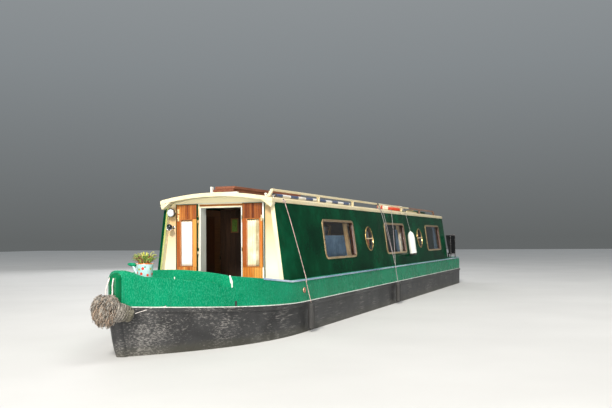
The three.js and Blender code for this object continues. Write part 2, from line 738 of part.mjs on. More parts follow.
add('front_bulkhead', cut(
  union(
    alongX(bulkheadSection(BULKHEAD_X, BASE_Z + GAP), BULKHEAD_X - BULKHEAD_THICK, BULKHEAD_X),
    box(BULKHEAD_X - DOOR_REVEAL, BULKHEAD_X, -DOORWAY_HALF - 30, DOORWAY_HALF + 30, 970, 2200),
    ...front.fixed, ...front.fixed.map(mirrored),
  ),
  box(BULKHEAD_X - 500, BULKHEAD_X + 500, -DOORWAY_HALF, DOORWAY_HALF, 1000, 2170),
), 'cream');
add('rear_bulkhead', cut(
  union(
    alongX(bulkheadSection(0, COUNTER_Z + DECK_PLATE + GAP), CABIN_REAR_X + GAP, CABIN_REAR_X + BULKHEAD_THICK),
    ...rear.fixed, ...rear.fixed.map(mirrored),
  ),
  box(CABIN_REAR_X - 500, CABIN_REAR_X + 500, -DOORWAY_HALF, DOORWAY_HALF, 1270, 2600),
  box(CABIN_REAR_X - 500, CABIN_REAR_X + 500, -ENGINE_HALF - 30, ENGINE_HALF + 30, 500, ENGINE_TOP + 20),
), 'green');

add('cabin_floor', union(
  box(-4690, BULKHEAD_X - BULKHEAD_THICK - GAP, -965, 965, 190, 215),
  ...[-600, 0, 600].map((y) => box(-4600, 4400, y - 25, y + 25, BASE_Z + GAP, 195)),
), 'floor');

// Stern deck, its hatch lid and the engine below

const LID = { x0: -6500, x1: -5850, half: 350 };
const LID_AXIS_Z = GUNWALE_Z + 4;
const LID_AXIS_X = LID.x1 - 3;

function sternDeck() {
  const plan = inset(counterPlan(), CAPPING + 2).filter(({ x }) => x < CABIN_REAR_X - 6);
  const lip = [[CABIN_REAR_X - GAP, UNDER_CABIN_Y - 2], [CABIN_REAR_X - 13, UNDER_CABIN_Y - 2],
    [CABIN_REAR_X - 13, plan[0].y]];
  const outline = polygon([
    ...lip, ...plan.filter(({ x }) => x < CABIN_REAR_X - 14).map(({ x, y }) => [x, y]),
    ...[...lip].reverse().map(([x, y]) => [x, -y])]);
  const ledge = cut(
    box(LID.x0 - 20, LID.x1 + 20, -LID.half - 20, LID.half + 20, GUNWALE_Z - 20, GUNWALE_Z - 9),
    box(LID.x0 + 25, LID.x1 - 25, -LID.half + 25, LID.half - 25, GUNWALE_Z - 40, GUNWALE_Z + 10));
  const plateSolid = cut(standing(outline, GUNWALE_Z - 10, GUNWALE_Z - 2),
    box(LID.x0, LID.x1, -LID.half, LID.half, GUNWALE_Z - 40, GUNWALE_Z + 40));
  const dollies = [820, -820].flatMap((y) => [
    rod([-6150, y, GUNWALE_Z - 6], [-6150, y, GUNWALE_Z + 110], 20),
    rod([-6150, y, GUNWALE_Z + 104], [-6150, y, GUNWALE_Z + 120], 32)]);
  const knuckles = [160.4, -219.6].map((y) => union(
    rod([LID_AXIS_X, y, LID_AXIS_Z], [LID_AXIS_X, y + 59, LID_AXIS_Z], 6, 6, 12),
    box(LID_AXIS_X, LID.x1 + 8, y, y + 59, GUNWALE_Z - 5, LID_AXIS_Z)));
  return cut(union(plateSolid, ledge, ...dollies, ...knuckles), stockHole);
}
add('stern_deck', sternDeck(), 'green');
add('deck_lid', union(
  box(LID.x0 + 6, LID.x1 - 6, -LID.half + 6, LID.half - 6, GUNWALE_Z - 9 + GAP, GUNWALE_Z - 2),
  ...[100, -160].map((y) => union(
    rod([LID_AXIS_X, y, LID_AXIS_Z], [LID_AXIS_X, y + 60, LID_AXIS_Z], 6, 6, 12),
    box(LID_AXIS_X - 10, LID_AXIS_X, y, y + 60, GUNWALE_Z - 5, LID_AXIS_Z))),
), 'green');
add('engine', union(
  box(-5600, -4750, -ENGINE_HALF, ENGINE_HALF, 160, ENGINE_TOP),
  box(-5650, -4720, -ENGINE_HALF, -ENGINE_HALF + 60, BASE_Z + GAP, 200),
  box(-5650, -4720, ENGINE_HALF - 60, ENGINE_HALF, BASE_Z + GAP, 200),
), 'engine');

// Propeller

function blade(turn) {
  const radii = [26, 80, 140, 190, PROPELLER_R];
  const chords = [60, 120, 160, 130, 50];
  const shares = [-0.5, -0.25, 0, 0.25, 0.5];
  const face = (offset) => radii.map((radius, i) => shares.map((part) => {
    const pitch = Math.atan(PROPELLER_PITCH / (2 * Math.PI * radius));
    const run = part * chords[i];
    const angle = turn + (run * Math.cos(pitch) + offset * Math.sin(pitch)) / radius;
    const x = PROPELLER_X + run * Math.sin(pitch) - offset * Math.cos(pitch);
    return [x, radius * Math.cos(angle), SHAFT_Z + radius * Math.sin(angle)];
  }));
  return plate(face(-4), face(4));
}

function propeller() {
  const hub = union(
    rod([STERN_POST_X - 110 - GAP, 0, SHAFT_Z], [PROPELLER_X, 0, SHAFT_Z], 16),
    rod([PROPELLER_X + 38, 0, SHAFT_Z], [PROPELLER_X - 38, 0, SHAFT_Z], 36, 30),
    rod([PROPELLER_X - 30, 0, SHAFT_Z], [PROPELLER_X - 62, 0, SHAFT_Z], 22, 12));
  return union(hub, ...[0, 1, 2].map((i) => blade((i * Math.PI * 2) / 3 + 0.3)));
}
add('propeller', propeller(), 'bronze');

// Rudder and tiller

add('rudder', union(
  rod([RUDDER_X, 0, 70 + GAP], [RUDDER_X, 0, GUNWALE_Z + 70], STOCK_R),
  across(polygon([[RUDDER_X + 120, 110], [RUDDER_X + 120, 505], [RUDDER_X - 195, 505], [RUDDER_X - 215, 470],
    [RUDDER_X - 215, 130], [RUDDER_X - 180, 90], [RUDDER_X + 60, 90]]), -6, 6),
), 'bitumen');

function swanNeck() {
  const route = new THREE.CatmullRomCurve3([
    [RUDDER_X, GUNWALE_Z + 60], [RUDDER_X, 1420], [RUDDER_X + 30, 1640], [RUDDER_X + 110, 1850],
    [RUDDER_X + 210, 2010], [RUDDER_X + 330, 2085], [RUDDER_X + 560, 2110], [RUDDER_X + 800, 2125],
  ].map(([x, z]) => new THREE.Vector3(x, 0, z)));
  const section = circle(0, 0, 17);
  const arm = new THREE.ExtrudeGeometry(section, { steps: 18, extrudePath: route, curveSegments: 4 });
  const socket = rod([RUDDER_X, 0, GUNWALE_Z + 70 + GAP], [RUDDER_X, 0, GUNWALE_Z + 150], 30);
  const below = box(RUDDER_X - 90, RUDDER_X + 90, -90, 90, GUNWALE_Z - 50, GUNWALE_Z + 70 + GAP);
  const grip = rod([RUDDER_X + 770, 0, 2123], [RUDDER_X + 900, 0, 2131], 19, 15);
  return union(cut(arm, below), socket, grip);
}
add('tiller', swanNeck(), 'brass');

// Dark screen in a frame on two posts, one on each side of the stern deck

function sternScreen() {
  const [x0, x1] = [-6100, -5510];
  const low = 1323;
  const bar = 11;
  const posts = [x0 + bar, x1 - bar].map((x) => rod(
    [x, SCREEN_Y, GUNWALE_Z + GAP], [x, SCREEN_Y, SCREEN_TOP - bar], bar, bar, 10));
  const rails = [low, SCREEN_TOP - bar].map((z) => rod([x0 + bar, SCREEN_Y, z], [x1 - bar, SCREEN_Y, z], bar, bar, 10));
  const corners = [x0 + bar, x1 - bar].map((x) => new THREE.SphereGeometry(bar, 10, 8)
    .translate(x, SCREEN_Y, SCREEN_TOP - bar));
  return union(...posts, ...rails, ...corners,
    box(x0 + bar, x1 - bar, SCREEN_Y - 3, SCREEN_Y + 3, low, SCREEN_TOP - bar));
}
addPair('stern_screen', sternScreen(), 'black');

// Roof fittings

// The starboard rail starts further aft.
function handrail(front) {
  const y = HANDRAIL_Y;
  const posts = Array.from({ length: 5 }, (_, i) => CABIN_FRONT_X - 1680 - i * 1575);
  const under = posts.flatMap((x) => [
    [x + 22, HANDRAIL_Z - 28], [x + 22, roofZ(y - 20) + GAP], [x - 22, roofZ(y - 20) + GAP],
    [x - 22, HANDRAIL_Z - 28]]);
  const back = CABIN_REAR_X + 710;
  const lift = HANDRAIL_Z - roofZ(y - 20) - GAP;
  const outline = polygon([
    [front + 50, HANDRAIL_Z - lift], [front - 80, HANDRAIL_Z], [back + 80, HANDRAIL_Z],
    [back - 50, HANDRAIL_Z - lift], [back, HANDRAIL_Z - lift], [back + 92, HANDRAIL_Z - 28],
    ...under.reverse(), [front - 92, HANDRAIL_Z - 28], [front, HANDRAIL_Z - lift]]);
  return across(outline, y - 20, y + 20);
}
add('handrail_port', handrail(CABIN_FRONT_X + 30), 'cream');
add('handrail_starboard', mirrored(handrail(CABIN_FRONT_X - 515)), 'cream');

// Two crossbars with a horn at their starboard end carry two planks, one on the other.
function plankRack() {
  const [starboard, port] = [-235, 160];
  const cross = RACK_X.map((x) => alongX(polygon([
    [port, PLANK_Z], [starboard, PLANK_Z], ...[starboard, -135, 0, 135, port].map((y) => [y, roofZ(y) + GAP])]),
  x - 25, x + 25));
  const horns = RACK_X.map((x) => box(x - 25, x + 25, starboard, starboard + 25, PLANK_Z - 20, PLANK_Z + 75));
  const rail = box(RACK_X[1], RACK_X[0], -30, 30, roofZ(0) + 3, PLANK_Z - 6);
  return union(...cross, ...horns, rail);
}
add('plank_rack', plankRack(), 'white');
add('gangplank', union(
  box(CABIN_FRONT_X - 2600, CABIN_FRONT_X - 215, -190, 110, PLANK_Z + GAP, PLANK_Z + PLANK_THICK + GAP),
  box(CABIN_FRONT_X - 2520, CABIN_FRONT_X - 225, -165, 125, PLANK_Z + PLANK_THICK - 1, PLANK_Z + 2 * PLANK_THICK),
), 'plank');

// Two poles lie side by side on the roof, inside the port handrail.
const POLE_R = 21;
add('boat_pole', union(...[640, 600].map((y) => rod(
  [CABIN_FRONT_X - 330, y, roofZ(y) + POLE_R - 0.1], [CABIN_FRONT_X - 3400, y, roofZ(y) + POLE_R - 0.1],
  POLE_R, POLE_R, 12))), 'plank');

function lifebuoy() {
  const slope = Math.atan((2 * ROOF_CAMBER * LIFEBUOY.y) / ROOF_HALF ** 2);
  return new THREE.TorusGeometry(225, 52, 8, 22).rotateX(-slope)
    .translate(LIFEBUOY.x, LIFEBUOY.y, roofZ(LIFEBUOY.y) + 52 / Math.cos(slope) + GAP);
}
add('lifebuoy', lifebuoy(), 'red');

// Lamp and horn on the front bulkhead

add('headlamp', union(
  rod([BULKHEAD_X + GAP, LAMP_Y, 2110], [BULKHEAD_X + 25, LAMP_Y, 2110], 16),
  rod([BULKHEAD_X + 20, LAMP_Y, 2110], [BULKHEAD_X + 60, LAMP_Y, 2110], 28, 52, 20),
  rod([BULKHEAD_X + 60, LAMP_Y, 2110], [BULKHEAD_X + 92, LAMP_Y, 2110], 52, 52, 20),
), 'chrome');
add('horn', union(
  rod([BULKHEAD_X + GAP, LAMP_Y - 4, 1918], [BULKHEAD_X + 40, LAMP_Y - 4, 1918], 16, 12),
  rod([BULKHEAD_X + 35, LAMP_Y - 4, 1918], [BULKHEAD_X + 110, LAMP_Y - 4, 1918], 14, 44, 20),
), 'chrome');

// Fenders

// The bow fender is a ball of rope with a thick arm round each side of the stem, notched to fit it.
function bowFender() {
  const ball = new THREE.SphereGeometry(165, 16, 10).translate(STEM_X + 95, 0, 1060);
  const elbow = [STEM_X + 60, 70, 1045];
  const tip = [STEM_X - 90, 155, 1005];
  const arm = union(rod(elbow, tip, 115, 75, 14), new THREE.SphereGeometry(75, 14, 10).translate(...tip));
  const body = union(ball, arm, mirrored(arm));
  const besideStem = [70, 130, 200, 300, 500].map((aft) => [
    STEM_X - aft, sidePoint(aft, GUNWALE_Z).y + STRAKE_OUT + 4]);
  const port = [[STEM_X + 18.4, 20], [STEM_X + 2, 68], ...besideStem];
  const notch = polygon([...port, ...[...port].reverse().map(([x, y]) => [x, -y])]);
  return cut(body, standing(notch, 600, 1400));
}
add('bow_fender', bowFender(), 'rope');

// A side fender hangs at x on a taut line from the handrail at topX, over the roof edge and the gunwale.
function sideFender(x, topX, bottomZ) {
  const topZ = bottomZ + FENDER_H;
  const fenderY = HALF_BEAM + STRAKE_OUT + FENDER_R + 3;
  const edge = ROOF_HALF + LINE_R + 5;
  const gunwaleY = HALF_BEAM + LINE_R + 5;
  const body = new THREE.LatheGeometry([
    [0, 0], [FENDER_R * 0.7, 0], [FENDER_R, 30], [FENDER_R, FENDER_H - 30], [FENDER_R * 0.5, FENDER_H - 4],
    [0, FENDER_H]].map(([u, v]) => new THREE.Vector2(u, v)), 10).rotateX(Math.PI / 2)
    .translate(x, fenderY, bottomZ);
  const stops = [
    [topX, HANDRAIL_Y + 20 + LINE_R - 0.3, HANDRAIL_Z - 20], [topX, edge, roofZ(ROOF_HALF) + 4],
    [x, gunwaleY, GUNWALE_Z + 6], [x, fenderY, topZ - 8]];
  const lines = stops.slice(0, -1).map((from, i) => rod(from, stops[i + 1], LINE_R, LINE_R, 6));
  const bends = stops.slice(1, -1).map(([bx, by, bz]) => new THREE.SphereGeometry(LINE_R + 2, 8, 6)
    .translate(bx, by, bz));
  return union(body, ...lines, ...bends);
}
add('side_fender_fore', sideFender(CABIN_FRONT_X - 445, CABIN_FRONT_X - 250, 590), 'rope');
add('side_fender_aft', sideFender(CABIN_FRONT_X - 4745, CABIN_FRONT_X - 4645, 590), 'rope');

// A white fender hangs against the cabin side.
function cabinFender() {
  const x = CABIN_FRONT_X - 6435;
  const low = GUNWALE_Z + 165;
  const y = cabinY(low) + 78;
  const top = low + 490;
  const body = new THREE.LatheGeometry([[0, 0], [62, 0], [70, 20], [70, 340], [55, 430], [20, 486], [0, 490]]
    .map(([u, v]) => new THREE.Vector2(u, v)), 16).rotateX(Math.PI / 2);
  body.rotateX(Math.atan(CABIN_LEAN)).translate(x, y, low);
  const topY = y - 490 * CABIN_LEAN * 0.99;
  const edge = [x, ROOF_HALF + LINE_R + 3, roofZ(ROOF_HALF) + 4];
  return union(body, rod([x, topY, top - 12], edge, LINE_R, LINE_R, 8),
    rod(edge, [x, HANDRAIL_Y + 20 + LINE_R - 0.3, HANDRAIL_Z - 20], LINE_R, LINE_R, 8));
}
add('cabin_fender', cabinFender(), 'white');

// Watering can on the foredeck, planted full
function wateringCan() {
  const x = STEM_X - 430;
  const y = 105;
  const low = deckEdgeZ(350) + DECK_CAMBER - 3.7;
  const rim = low + 165;
  return union(
    rod([x, y, low], [x, y, rim], 80, 90, 18),
    new THREE.SphereGeometry(102, 12, 8).translate(x, y + 5, rim),
    rod([x + 10, y - 60, low + 40], [x + 35, y - 120, low + 140], 18, 12, 8),
    rod([x + 32, y - 112, low + 145], [x + 45, y - 185, low + 158], 26, 12, 8),
  );
}
add('watering_can', wateringCan(), 'white');

export default boat;
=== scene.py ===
"""The looks of a steel narrowboat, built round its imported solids. Metres; X forward, Y to port, Z up.

Every new piece is an array of points worked out from a formula: a grid of two parameters, a
profile carried along a path, a turned profile, or a table of boxes.
"""

import json
import math

import bmesh
import bpy
import numpy as np
from mathutils import Matrix, Vector

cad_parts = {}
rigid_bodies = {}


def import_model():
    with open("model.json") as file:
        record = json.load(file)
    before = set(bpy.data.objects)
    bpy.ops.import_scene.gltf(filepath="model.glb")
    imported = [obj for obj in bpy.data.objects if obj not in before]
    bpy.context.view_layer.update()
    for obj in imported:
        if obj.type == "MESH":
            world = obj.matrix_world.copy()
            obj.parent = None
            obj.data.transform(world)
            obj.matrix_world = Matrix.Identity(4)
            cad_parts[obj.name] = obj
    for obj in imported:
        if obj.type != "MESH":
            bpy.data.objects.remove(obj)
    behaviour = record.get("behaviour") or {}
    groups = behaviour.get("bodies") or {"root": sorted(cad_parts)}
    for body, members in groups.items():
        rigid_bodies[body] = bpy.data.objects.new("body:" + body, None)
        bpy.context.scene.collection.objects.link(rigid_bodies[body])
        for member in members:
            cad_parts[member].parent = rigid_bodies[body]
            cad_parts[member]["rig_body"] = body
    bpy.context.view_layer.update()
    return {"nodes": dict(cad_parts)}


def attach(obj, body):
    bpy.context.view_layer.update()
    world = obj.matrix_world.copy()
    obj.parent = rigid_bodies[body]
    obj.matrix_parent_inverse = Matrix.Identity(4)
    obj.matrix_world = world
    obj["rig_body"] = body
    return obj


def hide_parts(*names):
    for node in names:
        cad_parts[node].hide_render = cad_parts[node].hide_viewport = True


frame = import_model()
rng = np.random.default_rng(7)

# Hull, the same driving sizes as the solids
STEM_X = 6.95
STERN_X = -6.95
HALF_BEAM = 1.041
HALF_BASE = 1.021
BASE_Z = 0.010
GUNWALE_Z = 1.230
WATERLINE_Z = 0.56
SIDE_WALL = 0.045
SHELF_STEEL = 0.010
CAPPING = 0.060
STEM_STRAIGHT_Z = 1.120
STEM_RAKE = 0.445
NOSE = 0.070
BOW_LENGTH = 2.6
BOW_FULLNESS = 2.37
FOREDECK_AFT = 1.130
STRAKE_DROP = 0.288
STRAKE_RISE = 0.134
STRAKE_RISE_LENGTH = 2.63
STRAKE_OUT = 0.018
DECK_CAMBER = 0.038
BOARD_THICK = 0.034
BOARD_CROWN = 0.180
BOARD_CAMBER = 0.058
SWIM_START_X = -4.8
COUNTER_Z = 0.540
STERN_ROUND = 0.650

# Cabin
CABIN_FRONT_X = 4.715
CABIN_REAR_X = -5.465
CABIN_FOOT_Y = 0.930
CABIN_LEAN = 0.1295
CABIN_WALL = 0.060
EAVE_Z = 2.215
FASCIA = 0.055
ROOF_CAMBER = 0.085
ROOF_HALF = 0.810
ROOF_THICK = 0.050
ROOF_LIP = 0.095
BULKHEAD_X = CABIN_FRONT_X - 0.070
DOORWAY_HALF = 0.300
HATCH_HALF = 0.330
HATCH_FRONT_X = CABIN_REAR_X + 0.8
HATCH_LIFT = 0.032
WINDOW_Z = 1.742
WINDOW_W = 1.380
WINDOW_H = 0.535
WINDOW_CORNER = 0.055
PORTHOLE_R = 0.195
WINDOW_X = [CABIN_FRONT_X - 2.285, CABIN_FRONT_X - 5.520, CABIN_FRONT_X - 8.850]
PORTHOLE_X = [CABIN_FRONT_X - 3.790, CABIN_FRONT_X - 7.480]
HINGE_Y = 0.322
HANDRAIL_Y = 0.745
HANDRAIL_Z = 2.388
RUDDER_X = -6.720
SIDES = {"port": 1, "starboard": -1}

# Strake: a bar with rounded edges, by its foot, middle and half depth under and round the strake line
STRAKE_FOOT = 0.052
STRAKE_MIDDLE = 0.018
STRAKE_HALF = 0.031
SEAT = 0.0003
CLOTH_THICK = 0.0008
WEAVE = 900.0


# Shapes as arrays of points and faces

def grid(points, wrap_rows=False, wrap_columns=False):
    """A surface of rows by columns of points; each cell is one four-sided face."""
    points = np.asarray(points, float)
    rows, columns = points.shape[:2]
    i = np.arange(rows if wrap_rows else rows - 1)
    j = np.arange(columns if wrap_columns else columns - 1)
    a, b = np.meshgrid(i, j, indexing="ij")
    c, d = (a + 1) % rows, (b + 1) % columns
    faces = np.stack([a * columns + b, c * columns + b, c * columns + d, a * columns + d], -1)
    return points.reshape(-1, 3), faces.reshape(-1, 4).tolist()


def many_grids(bodies, wrap_columns=False):
    """Many surfaces of one size: the first one's faces, with their numbers moved on for each other one."""
    count, rows, columns = bodies.shape[:3]
    cell = np.array(grid(bodies[0], wrap_columns=wrap_columns)[1])
    faces = cell[None] + (np.arange(count) * rows * columns)[:, None, None]
    return bodies.reshape(-1, 3), faces.reshape(-1, 4).tolist()


def ends(sides, count):
    """The two faces that close a run of rings: the first ring's points and the last ring's."""
    return [list(range(sides)), list(range(count - sides, count))]


def joined(*shapes):
    """Several shapes as one, their faces numbered on."""
    points, faces, start = [], [], 0
    for p, f in shapes:
        points.append(p)
        faces += [[n + start for n in face] for face in f]
        start += len(p)
    return np.concatenate(points), faces


def shell(outer, inner):
    """A closed plate between two grids of the same size: both faces and the rim round them."""
    outer, inner = np.asarray(outer, float), np.asarray(inner, float)
    rings = [np.concatenate([g[0], g[1:, -1], g[-1, -2::-1], g[-2:0:-1, 0]]) for g in (outer, inner)]
    return joined(grid(outer), grid(inner), grid(np.stack(rings), wrap_columns=True))


def swept(profile, path, side, rise):
    """A profile of (u, v) points carried along a path: point = path + u * side + v * rise."""
    profile, path = np.asarray(profile, float), np.asarray(path, float)
    side = np.broadcast_to(np.asarray(side, float), path.shape)
    rise = np.broadcast_to(np.asarray(rise, float), path.shape)
    body = path[:, None] + profile[None, :, :1] * side[:, None] + profile[None, :, 1:] * rise[:, None]
    points, faces = grid(body, wrap_columns=True)
    return points, faces + ends(len(profile), len(points))


def smooth_path(stops, steps):
    """A Catmull-Rom curve through the stops, with that many steps between each two."""
    p = np.asarray(stops, float)
    p = np.concatenate([2 * p[:1] - p[1:2], p, 2 * p[-1:] - p[-2:-1]])
    t = np.arange(steps)[:, None] / steps
    runs = [0.5 * (2 * b + (c - a) * t + (2 * a - 5 * b + 4 * c - d) * t ** 2
                   + (3 * b - a - 3 * c + d) * t ** 3)
            for a, b, c, d in zip(p[:-3], p[1:-2], p[2:-1], p[3:])]
    return np.concatenate([*runs, p[-2:-1]])


def round_turn(steps):
    """Angles of that many equal steps round a circle."""
    return np.arange(steps) * 2 * math.pi / steps


def frames_along(path, closed=False):
    """Unit vectors across a path: the side is level, and the rise stands on both."""
    ahead = np.roll(path, -1, 0) - np.roll(path, 1, 0) if closed else np.gradient(path, axis=0)
    ahead /= np.linalg.norm(ahead, axis=1, keepdims=True)
    across = np.cross(ahead, [0.0, 0.0, 1.0])
    upright = np.linalg.norm(across, axis=1) < 0.05
    across[upright] = np.cross(ahead[upright], [0.0, 1.0, 0.0])
    across /= np.linalg.norm(across, axis=1, keepdims=True)
    return across, np.cross(across, ahead)


def tube(path, radius, sides=12, closed=False):
    """A round section, (r cos a, r sin a), carried along a path; the radius may change along it."""
    path = np.asarray(path, float)
    side, rise = frames_along(path, closed)
    a = round_turn(sides)[None, :, None]
    r = np.broadcast_to(np.asarray(radius, float), (len(path),))[:, None, None]
    body = path[:, None] + r * (np.cos(a) * side[:, None] + np.sin(a) * rise[:, None])
    points, faces = grid(body, wrap_rows=closed, wrap_columns=True)
    return points, faces if closed else faces + ends(sides, len(points))


def laid_rope(path, radius, turn_length, strands=3, sides=6):
    """Strands wound round a path: each is a tube whose centre circles the path once a turn."""
    path = np.asarray(path, float)
    side, rise = frames_along(path)
    run = np.concatenate([[0], np.cumsum(np.linalg.norm(np.diff(path, axis=0), axis=1))])
    shapes = []
    for k in range(strands):
        angle = (run / turn_length * 2 * math.pi + k * 2 * math.pi / strands)[:, None]
        centre = path + 0.5 * radius * (np.cos(angle) * side + np.sin(angle) * rise)
        shapes.append(tube(centre, 0.52 * radius, sides))
    return joined(*shapes)


def across_from(axis):
    """Two unit vectors square to an axis and to each other."""
    u = np.cross(axis, [1.0, 0, 0] if abs(axis[0]) < 0.9 else [0, 1.0, 0])
    u /= np.linalg.norm(u)
    return u, np.cross(axis, u)


def turned(profile, foot, axis=(0, 0, 1), steps=32):
    """A profile of (radius, height) points turned about an axis; both ends are closed."""
    profile = np.asarray(profile, float)
    axis = np.asarray(axis, float) / np.linalg.norm(axis)
    u, v = across_from(axis)
    a = round_turn(steps)[None, :, None]
    r, h = profile[:, 0, None, None], profile[:, 1, None, None]
    points, faces = grid(np.asarray(foot, float) + r * (np.cos(a) * u + np.sin(a) * v) + h * axis,
                         wrap_columns=True)
    return points, faces + ends(steps, len(points))


def boxes(table):
    """One box for each row (x0, x1, y0, y1, z0, z1)."""
    table = np.asarray(table, float)
    low, high = table[:, 0::2], table[:, 1::2]
    unit = np.array([[x, y, z] for x in (0, 1) for y in (0, 1) for z in (0, 1)], float)
    points = low[:, None] + (high - low)[:, None] * unit
    cell = np.array([[0, 1, 3, 2], [4, 6, 7, 5], [0, 4, 5, 1], [2, 3, 7, 6], [0, 2, 6, 4], [1, 5, 7, 3]])
    faces = cell[None] + 8 * np.arange(len(table))[:, None, None]
    return points.reshape(-1, 3), faces.reshape(-1, 4).tolist()


def prism(outline, low, high):
    """A flat outline of (y, z) points carried straight along X from low to high."""
    outline = np.asarray(outline, float)
    n = len(outline)
    two = [np.column_stack([np.full(n, x), outline]) for x in (low, high)]
    points, faces = grid(np.stack(two), wrap_columns=True)
    return points, faces + ends(n, 2 * n)


def other_side(shape):
    """The same shape on the starboard side."""
    return shape[0] * [1, -1, 1], shape[1]


def on_side(shape, sign):
    """A port side shape, or its mirror where the sign is negative."""
    return shape if sign > 0 else other_side(shape)


def rounded_loop(half_w, half_h, radius, steps=8):
    """A rounded rectangle about the origin, as (u, v) points: four quarter circles."""
    a = np.linspace(0, math.pi / 2, steps + 1)
    corners = [(half_w - radius, half_h - radius, 0), (radius - half_w, half_h - radius, 1),
               (radius - half_w, radius - half_h, 2), (half_w - radius, radius - half_h, 3)]
    return np.concatenate([np.column_stack([u + radius * np.cos(a + k * math.pi / 2),
                                            v + radius * np.sin(a + k * math.pi / 2)])
                           for u, v, k in corners])


def circle_loop(radius, steps):
    """A circle about the origin, as (u, v) points."""
    a = round_turn(steps)
    return np.column_stack([radius * np.cos(a), radius * np.sin(a)])


# Shapes made into pieces

def put(name, data):
    """A new object in the scene, at the origin."""
    piece = bpy.data.objects.new(name, data)
    bpy.context.scene.collection.objects.link(piece)
    return piece


def smoothed(mesh, crease):
    """Smooth faces with sharp edges where they meet at more than the crease, in degrees."""
    mesh.polygons.foreach_set("use_smooth", np.ones(len(mesh.polygons), bool))
    mesh.set_sharp_from_angle(angle=math.radians(crease))


def eased(piece, width):
    """A narrow two-step bevel on the piece's hard edges."""
    edge = piece.modifiers.new("edge", "BEVEL")
    edge.width = width
    edge.segments = 2
    edge.limit_method = "ANGLE"
    edge.angle_limit = math.radians(40)
    edge.harden_normals = True


def thickened(piece, thickness):
    """Gives a sheet its thickness."""
    solid = piece.modifiers.new("thickness", "SOLIDIFY")
    solid.thickness = thickness
    return solid


def make(name, shape, finishes, slot=None, body="hull", replaces=None, which=None, crease=35, weld=True,
         bevel=0.0, tones=None):
    """Puts a shape into an object. which gives each face's finish, tones gives each point's shade."""
    points, faces = shape
    mesh = bpy.data.meshes.new(name)
    mesh.from_pydata(points.tolist(), [], faces)
    if which is not None:
        mesh.polygons.foreach_set("material_index", np.asarray(which, np.int32))
    if tones is not None:
        mesh.attributes.new("shade", "FLOAT", "POINT").data.foreach_set("value", tones.astype(np.float32))
    work = bmesh.new()
    work.from_mesh(mesh)
    if weld:
        bmesh.ops.remove_doubles(work, verts=work.verts, dist=1e-5)
        bmesh.ops.dissolve_degenerate(work, dist=1e-6, edges=work.edges)
    bmesh.ops.recalc_face_normals(work, faces=work.faces)
    work.to_mesh(mesh)
    work.free()
    smoothed(mesh, crease)
    for finish in finishes if isinstance(finishes, (list, tuple)) else [finishes]:
        mesh.materials.append(finish)
    piece = put(name, mesh)
    if bevel:
        eased(piece, bevel)
    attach(piece, body)
    if replaces:
        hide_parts(replaces)
    return piece


def make_pair(name, shape, finish, slot, **how):
    """A port side shape and its mirror, as two pieces."""
    for side, sign in SIDES.items():
        make(f"{name}_{side}", on_side(shape, sign), finish, slot, **how)


def box_tones(count, spread=1.0):
    """One random shade for each box of a table, on its eight points."""
    return np.repeat(rng.random(count) * spread, 8)


def recast(node, finish, bevel):
    """A welded copy of a node's solid, with its edges eased, that stands for the node."""
    source = frame["nodes"][node]
    mesh = source.data.copy()
    if mesh.has_custom_normals:
        mesh.attributes.remove(mesh.attributes["custom_normal"])
    work = bmesh.new()
    work.from_mesh(mesh)
    bmesh.ops.remove_doubles(work, verts=work.verts, dist=1e-5)
    bmesh.ops.dissolve_limit(work, angle_limit=0.005, verts=work.verts, edges=work.edges)
    work.to_mesh(mesh)
    work.free()
    smoothed(mesh, 35)
    mesh.materials.clear()
    mesh.materials.append(finish)
    piece = put(node + "_finished", mesh)
    eased(piece, bevel)
    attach(piece, source["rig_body"])
    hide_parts(node)
    return piece


def dress(node, finish):
    """Gives a node that stays its finish."""
    frame["nodes"][node].material_slots[0].material = finish


def hang(name, points, finish, body="hull"):
    """A cloth on its rail: a grid of points given a thin thickness."""
    piece = make(name, grid(points), finish, body=body, crease=180)
    thickened(piece, CLOTH_THICK).offset = 0.0


# Shader groups that several finishes share

def new_group(name, inputs, outputs):
    """A node group with named number or vector inputs and named outputs."""
    group = bpy.data.node_groups.new(name, "ShaderNodeTree")
    for label, kind, value in inputs:
        socket = group.interface.new_socket(label, in_out="INPUT", socket_type=kind)
        if value is not None:
            socket.default_value = value
    for label in outputs:
        group.interface.new_socket(label, in_out="OUTPUT", socket_type="NodeSocketFloat")
    return group, group.nodes.new("NodeGroupInput").outputs, group.nodes.new("NodeGroupOutput")


def feed(made, label, source):
    """Gives a node's input a link from a socket, or a plain value; a colour of three numbers is opaque."""
    socket = made.inputs[label]
    if isinstance(source, bpy.types.NodeSocket):
        made.id_data.links.new(source, socket)
    elif socket.type == "RGBA":
        socket.default_value = (*source, 1)
    else:
        socket.default_value = source


def node(tree, kind, links=(), **values):
    """A node with its settings; links pairs an input's name or number with a socket or a plain value."""
    made = tree.nodes.new(kind)
    for label, value in values.items():
        setattr(made, label, value)
    for label, source in links:
        feed(made, label, source)
    return made


def ramp(tree, source, stops):
    """A colour ramp over (place, colour) stops; a bare number is a grey."""
    made = node(tree, "ShaderNodeValToRGB", [("Fac", source)])
    elements = made.color_ramp.elements
    while len(elements) < len(stops):
        elements.new(0.5)
    for element, (place, colour) in zip(elements, stops):
        element.position = place
        element.color = (colour,) * 3 + (1,) if isinstance(colour, (int, float)) else (*colour, 1)
    return made.outputs["Color"]


def blended(tree, factor, first, second, way="MIX"):
    """Two colours mixed by a factor."""
    links = [("Factor", factor), (6, first), (7, second)]
    return node(tree, "ShaderNodeMix", links, data_type="RGBA", blend_type=way).outputs[2]


def maths(tree, operation, first, second=0.0, clamped=False):
    """One sum on two numbers."""
    return node(tree, "ShaderNodeMath", [(0, first), (1, second)], operation=operation,
                use_clamp=clamped).outputs[0]


def stretched(tree, vector, scale):
    """Coordinates scaled apart on each axis."""
    return node(tree, "ShaderNodeMapping", [("Vector", vector), ("Scale", scale)]).outputs["Vector"]


